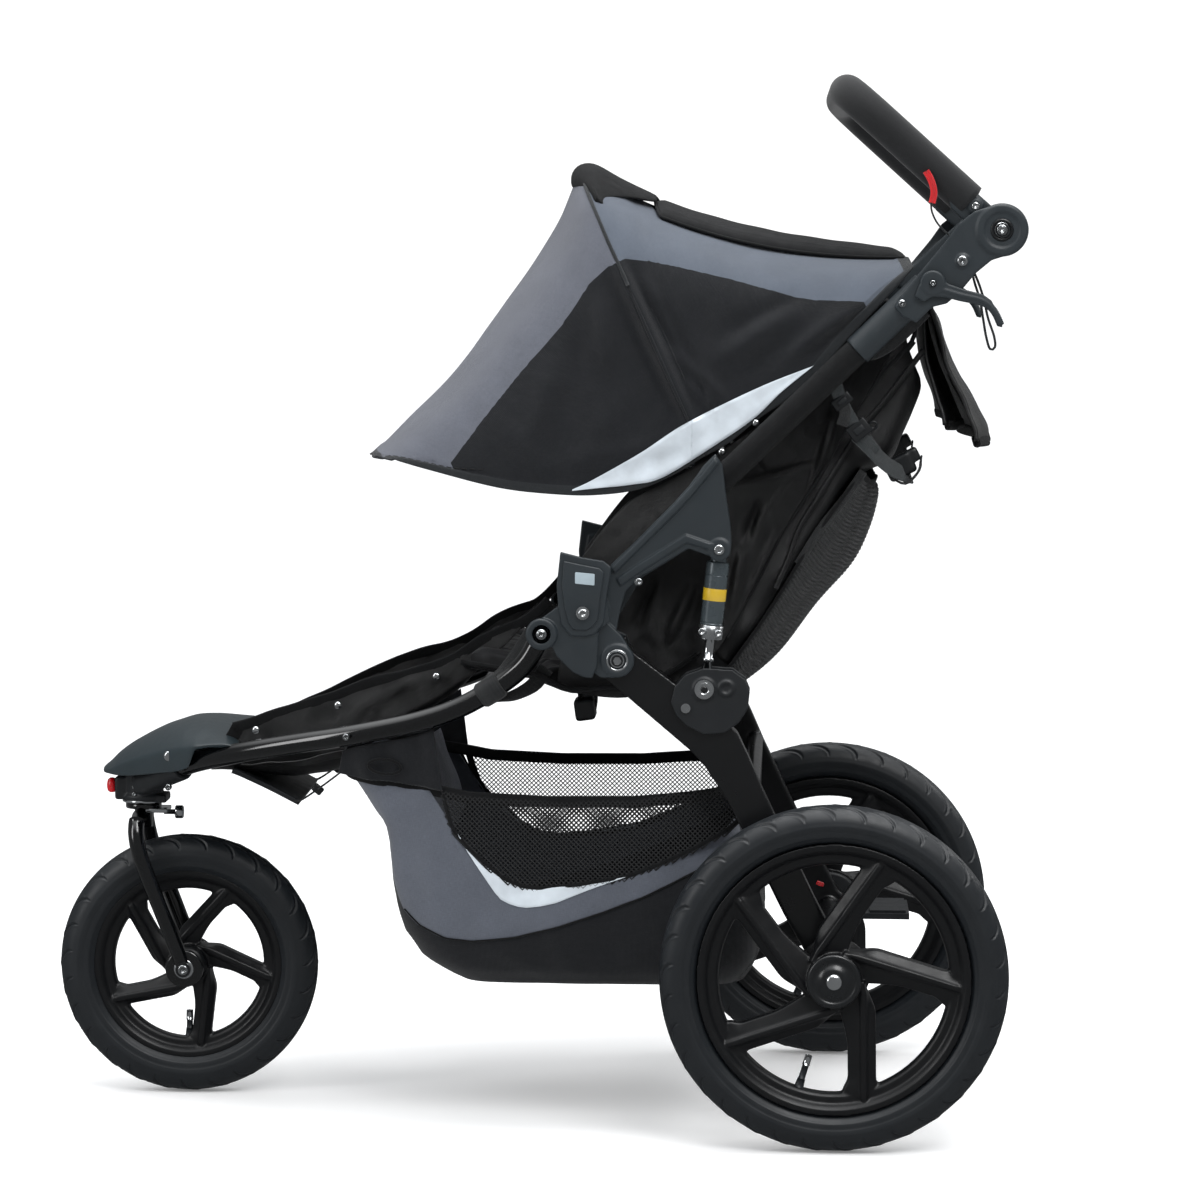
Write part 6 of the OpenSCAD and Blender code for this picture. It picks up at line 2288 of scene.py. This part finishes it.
# ---------- side straps with their buckles ----------
LONG_STRAP = [(14.78, 212, 894.36), (5.45, 211, 871.65), (-2.74, 209, 851.14),
              (-13.25, 205, 830.53), (-27.22, 200, 809.85), (-43.46, 196, 791.48)]
SHORT_STRAP = [(3, 208, 872), (-2, 209, 856), (-8, 209, 838), (-4, 207, 822)]
ROUND_STRAP = [(-22, 197, 812), (-34, 196, 800), (-46, 192, 786), (-60, 184, 774),
               (-76, 172, 765), (-84, 150, 762)]
LOOP_STRAP = [(-60, 168, 762), (-78, 170, 754), (-93, 168, 768), (-96, 160, 782)]
HEAD_STRAP = [(-22, 206, 905), (-40, 200, 905), (-62, 192, 918), (-84, 186, 938), (-98, 182, 952)]


def side_straps(side, s):
    parts = [strap(to_side(LONG_STRAP, s), 5, 15, 2.4, WEB_GREY, (1, 0, 0.5)),
             strap(to_side(SHORT_STRAP, s), 5, 13, 2.0, WEB, (1, 0, 0.5))]
    for x, y, z, dx, dz in ((-4, 208, 850, 24, 14), (-24, 203, 817, 26, 20)):
        parts.append(box((x, y * s, z), (dx, 7, dz), BUCKLE, 2.2, turn=38))
        parts.append(box((x, (y + 3) * s, z), (dx * 0.5, 4, dz * 0.42), CAST_DARK, 1.4, turn=38))
    # strap round the side of the seat back to the buckle behind
    parts.append(strap(to_side(ROUND_STRAP, s), 5, 20, 3.0, WEB_GREY, (0.4, 0, 1)))
    parts.append(soften([box((-72, 160 * s, 773), (34, 24, 25), BUCKLE, 4, turn=28),
                         box((-86, 160 * s, 786), (16, 22, 16), BUCKLE, 3, turn=28)],
                        BUCKLE, 1.6, 3))
    parts.append(strap(to_side(LOOP_STRAP, s), 4, 19, 2.2, WEB, ALONG_Y))
    parts.append(lathe([(2.2, 191), (5.4, 191), (5.8, 192.4), (4.4, 193.4), (2.6, 192.8)],
                       (-40, 822), BUCKLE, sign=s, n=28, closed=True))
    on(join(parts), "side_straps_" + side, "upright", "webbing")
    # from the canopy's rear corner to the seat's head
    on(strap(to_side(HEAD_STRAP, s), 5, 16, 2.2, WEB, (1, 0, 1)), "head_strap_" + side,
       "upright", "webbing")


# ---------- pull tag and wrist strap ----------
PULL_TAG = [(-94.94, 246, 1110.54), (-100.66, 246, 1100.51), (-104.19, 246, 1087.1),
            (-102.09, 246, 1074.78)]
TAG_CORD = [(-100.97, 246, 1074.77), (-102.25, 245, 1064.71), (-109.22, 243, 1051.3),
            (-122.98, 240, 1037.91)]
WRIST_LOOP = [(-149.38, 214, 997.35), (-152.94, 214, 983.81), (-158.88, 213, 965.73),
              (-162.58, 212, 945.36), (-166.24, 212, 925.0), (-170.96, 212, 910.29),
              (-176.59, 212, 912.59), (-175.24, 213, 925.08), (-168.14, 214, 945.44),
              (-163.3, 215, 965.79), (-157.42, 215, 983.84), (-151.59, 215, 997.37)]


def tag_and_wrist_strap():
    on(strap(PULL_TAG, 3, 8, 3.4, RED_WEB, (1, 0, 0)), "pull_tag", "handlebar", "red")
    on(cord(TAG_CORD, 3, 1.1, 8, CORD), "pull_tag_cord", "handlebar", "red")
    on(cord(WRIST_LOOP, 3, 1.5, 10, CORD), "wrist_strap", "upright", "webbing")


def screw_heads():
    """Small domed heads over the outermost surface at the joints."""
    bpy.context.view_layer.update()
    graph = bpy.context.evaluated_depsgraph_get()
    screws = {}
    for x, z, r, body in ((287.64, 609.13, 5.6, "root"), (224.65, 645.03, 4.2, "rear_carrier"),
                          (-180.46, 1045.5, 4.6, "upright")):
        for s in SIGNS:
            hit, place, *_ = scene.ray_cast(graph, vec_m(x, 330 * s, z), Vector((0, -s, 0)),
                                            distance=0.3)
            if hit:
                screws.setdefault(body, []).append(
                    bolt((x, z), place.y * 1000 - 0.2 * s, r, CHROME, sign=s, h=2.0))
    for body, parts in screws.items():
        on(join(parts), "screw_heads_" + body, body, "steel")


footwell()
footwell_snaps()
foot_plate()
footwell_sides()
tie_downs()
harness()
rear_flaps()
seat_head()
for side, sign in SIDES:
    side_straps(side, sign)
tag_and_wrist_strap()
screw_heads()
on(box((16, 243.0, 300), (9, 4.5, 5), RED, 1.4, turn=-20), "brake_red_tab", "swing_arm", "red")


# ---------- floor, light, camera ----------
def studio_floor():
    m = Material("pale_floor", "#f6f6f6", rough=0.95, spec=0.0)
    m.shader.inputs["Emission Color"].default_value = (1, 1, 1, 1)
    m.shader.inputs["Emission Strength"].default_value = 0.16
    far, z = 90000, -0.6
    floor = make([(-far, -far, z), (far, -far, z), (far, far, z), (-far, far, z)],
                 [(0, 1, 2, 3)], m.material)
    rename(floor, "floor")
    floor.visible_glossy = False


def studio_world():
    """White to the camera; light from above, dimmer at the horizon. Reflections see a
    darker room with a narrow bright ceiling, for crisp highlights."""
    world = bpy.data.worlds.new("studio")
    scene.world = world
    world.use_nodes = True
    tree = world.node_tree
    nodes, connect = tree.nodes, tree.links.new
    light = nodes["Background"]
    light.inputs["Color"].default_value = (0.97, 0.985, 1.0, 1)
    backdrop = nodes.new("ShaderNodeBackground")
    backdrop.inputs["Color"].default_value = (1, 1, 1, 1)
    backdrop.inputs["Strength"].default_value = 1.15
    coords = nodes.new("ShaderNodeTexCoord")
    split = nodes.new("ShaderNodeSeparateXYZ")
    connect(coords.outputs["Generated"], split.inputs[0])

    def by_height(low, high, dim, bright):
        node = nodes.new("ShaderNodeMapRange")
        for key, value in (("From Min", low), ("From Max", high), ("To Min", dim),
                           ("To Max", bright)):
            node.inputs[key].default_value = value
        connect(split.outputs["Z"], node.inputs["Value"])
        return node.outputs[0]
    diffuse = by_height(low=0.1, high=0.95, dim=0.22, bright=1.5)
    glossy = by_height(low=0.58, high=0.97, dim=0.17, bright=2.5)
    ray = nodes.new("ShaderNodeLightPath")
    strength = nodes.new("ShaderNodeMix")
    connect(ray.outputs["Is Glossy Ray"], strength.inputs["Factor"])
    connect(diffuse, strength.inputs["A"])
    connect(glossy, strength.inputs["B"])
    connect(strength.outputs["Result"], light.inputs["Strength"])
    mix = nodes.new("ShaderNodeMixShader")
    connect(ray.outputs["Is Camera Ray"], mix.inputs[0])
    connect(light.outputs[0], mix.inputs[1])
    connect(backdrop.outputs[0], mix.inputs[2])
    connect(mix.outputs[0], nodes["World Output"].inputs["Surface"])


# name, place in metres, size in metres, watts
LIGHTS = [("key", (-1.3, 2.4, 3.2), (1.6, 1.6), 55), ("front", (3.2, 2.2, 1.9), (1.0, 2.2), 34),
          ("top", (0.0, 0.3, 3.6), (2.6, 0.7), 40), ("rim", (-3.0, -1.5, 2.2), (1.2, 1.2), 20)]
LIGHT_TARGET = Vector((0, 0, 0.55))


def studio_lights():
    for name, place, size, watts in LIGHTS:
        lamp = bpy.data.lights.new(name, "AREA")
        lamp.shape = "RECTANGLE"
        lamp.size, lamp.size_y = size
        lamp.energy = watts
        obj = link(bpy.data.objects.new(name, lamp))
        obj.location = place
        obj.rotation_mode = "QUATERNION"
        obj.rotation_quaternion = (LIGHT_TARGET - Vector(place)).to_track_quat("-Z", "Y")
    scene.view_settings.view_transform = "Standard"
    scene.view_settings.look = "None"


def camera():
    """Looks from the left side, along -Y, turned and tipped by small angles in radians."""
    yaw, pitch, roll = 0.044, 0.088, 0.005
    forward = Vector((math.sin(yaw) * math.cos(pitch), -math.cos(yaw) * math.cos(pitch),
                      -math.sin(pitch)))
    right = forward.cross(Vector((0, 0, 1))).normalized()
    up = right.cross(forward).normalized()
    right, up = (right * math.cos(roll) + up * math.sin(roll),
                 -right * math.sin(roll) + up * math.cos(roll))
    data = bpy.data.cameras.new("camera")
    data.sensor_fit = "HORIZONTAL"
    data.sensor_width = 36.0
    data.lens = 126.3815395
    data.clip_start, data.clip_end = 0.1, 60
    obj = link(bpy.data.objects.new("camera", data))
    matrix = Matrix((right, up, -forward)).transposed().to_4x4()
    matrix.translation = vec_m(66.712, 4975.583, 1046.670)
    obj.matrix_world = matrix
    scene.camera = obj


studio_floor()
studio_world()
studio_lights()
camera()
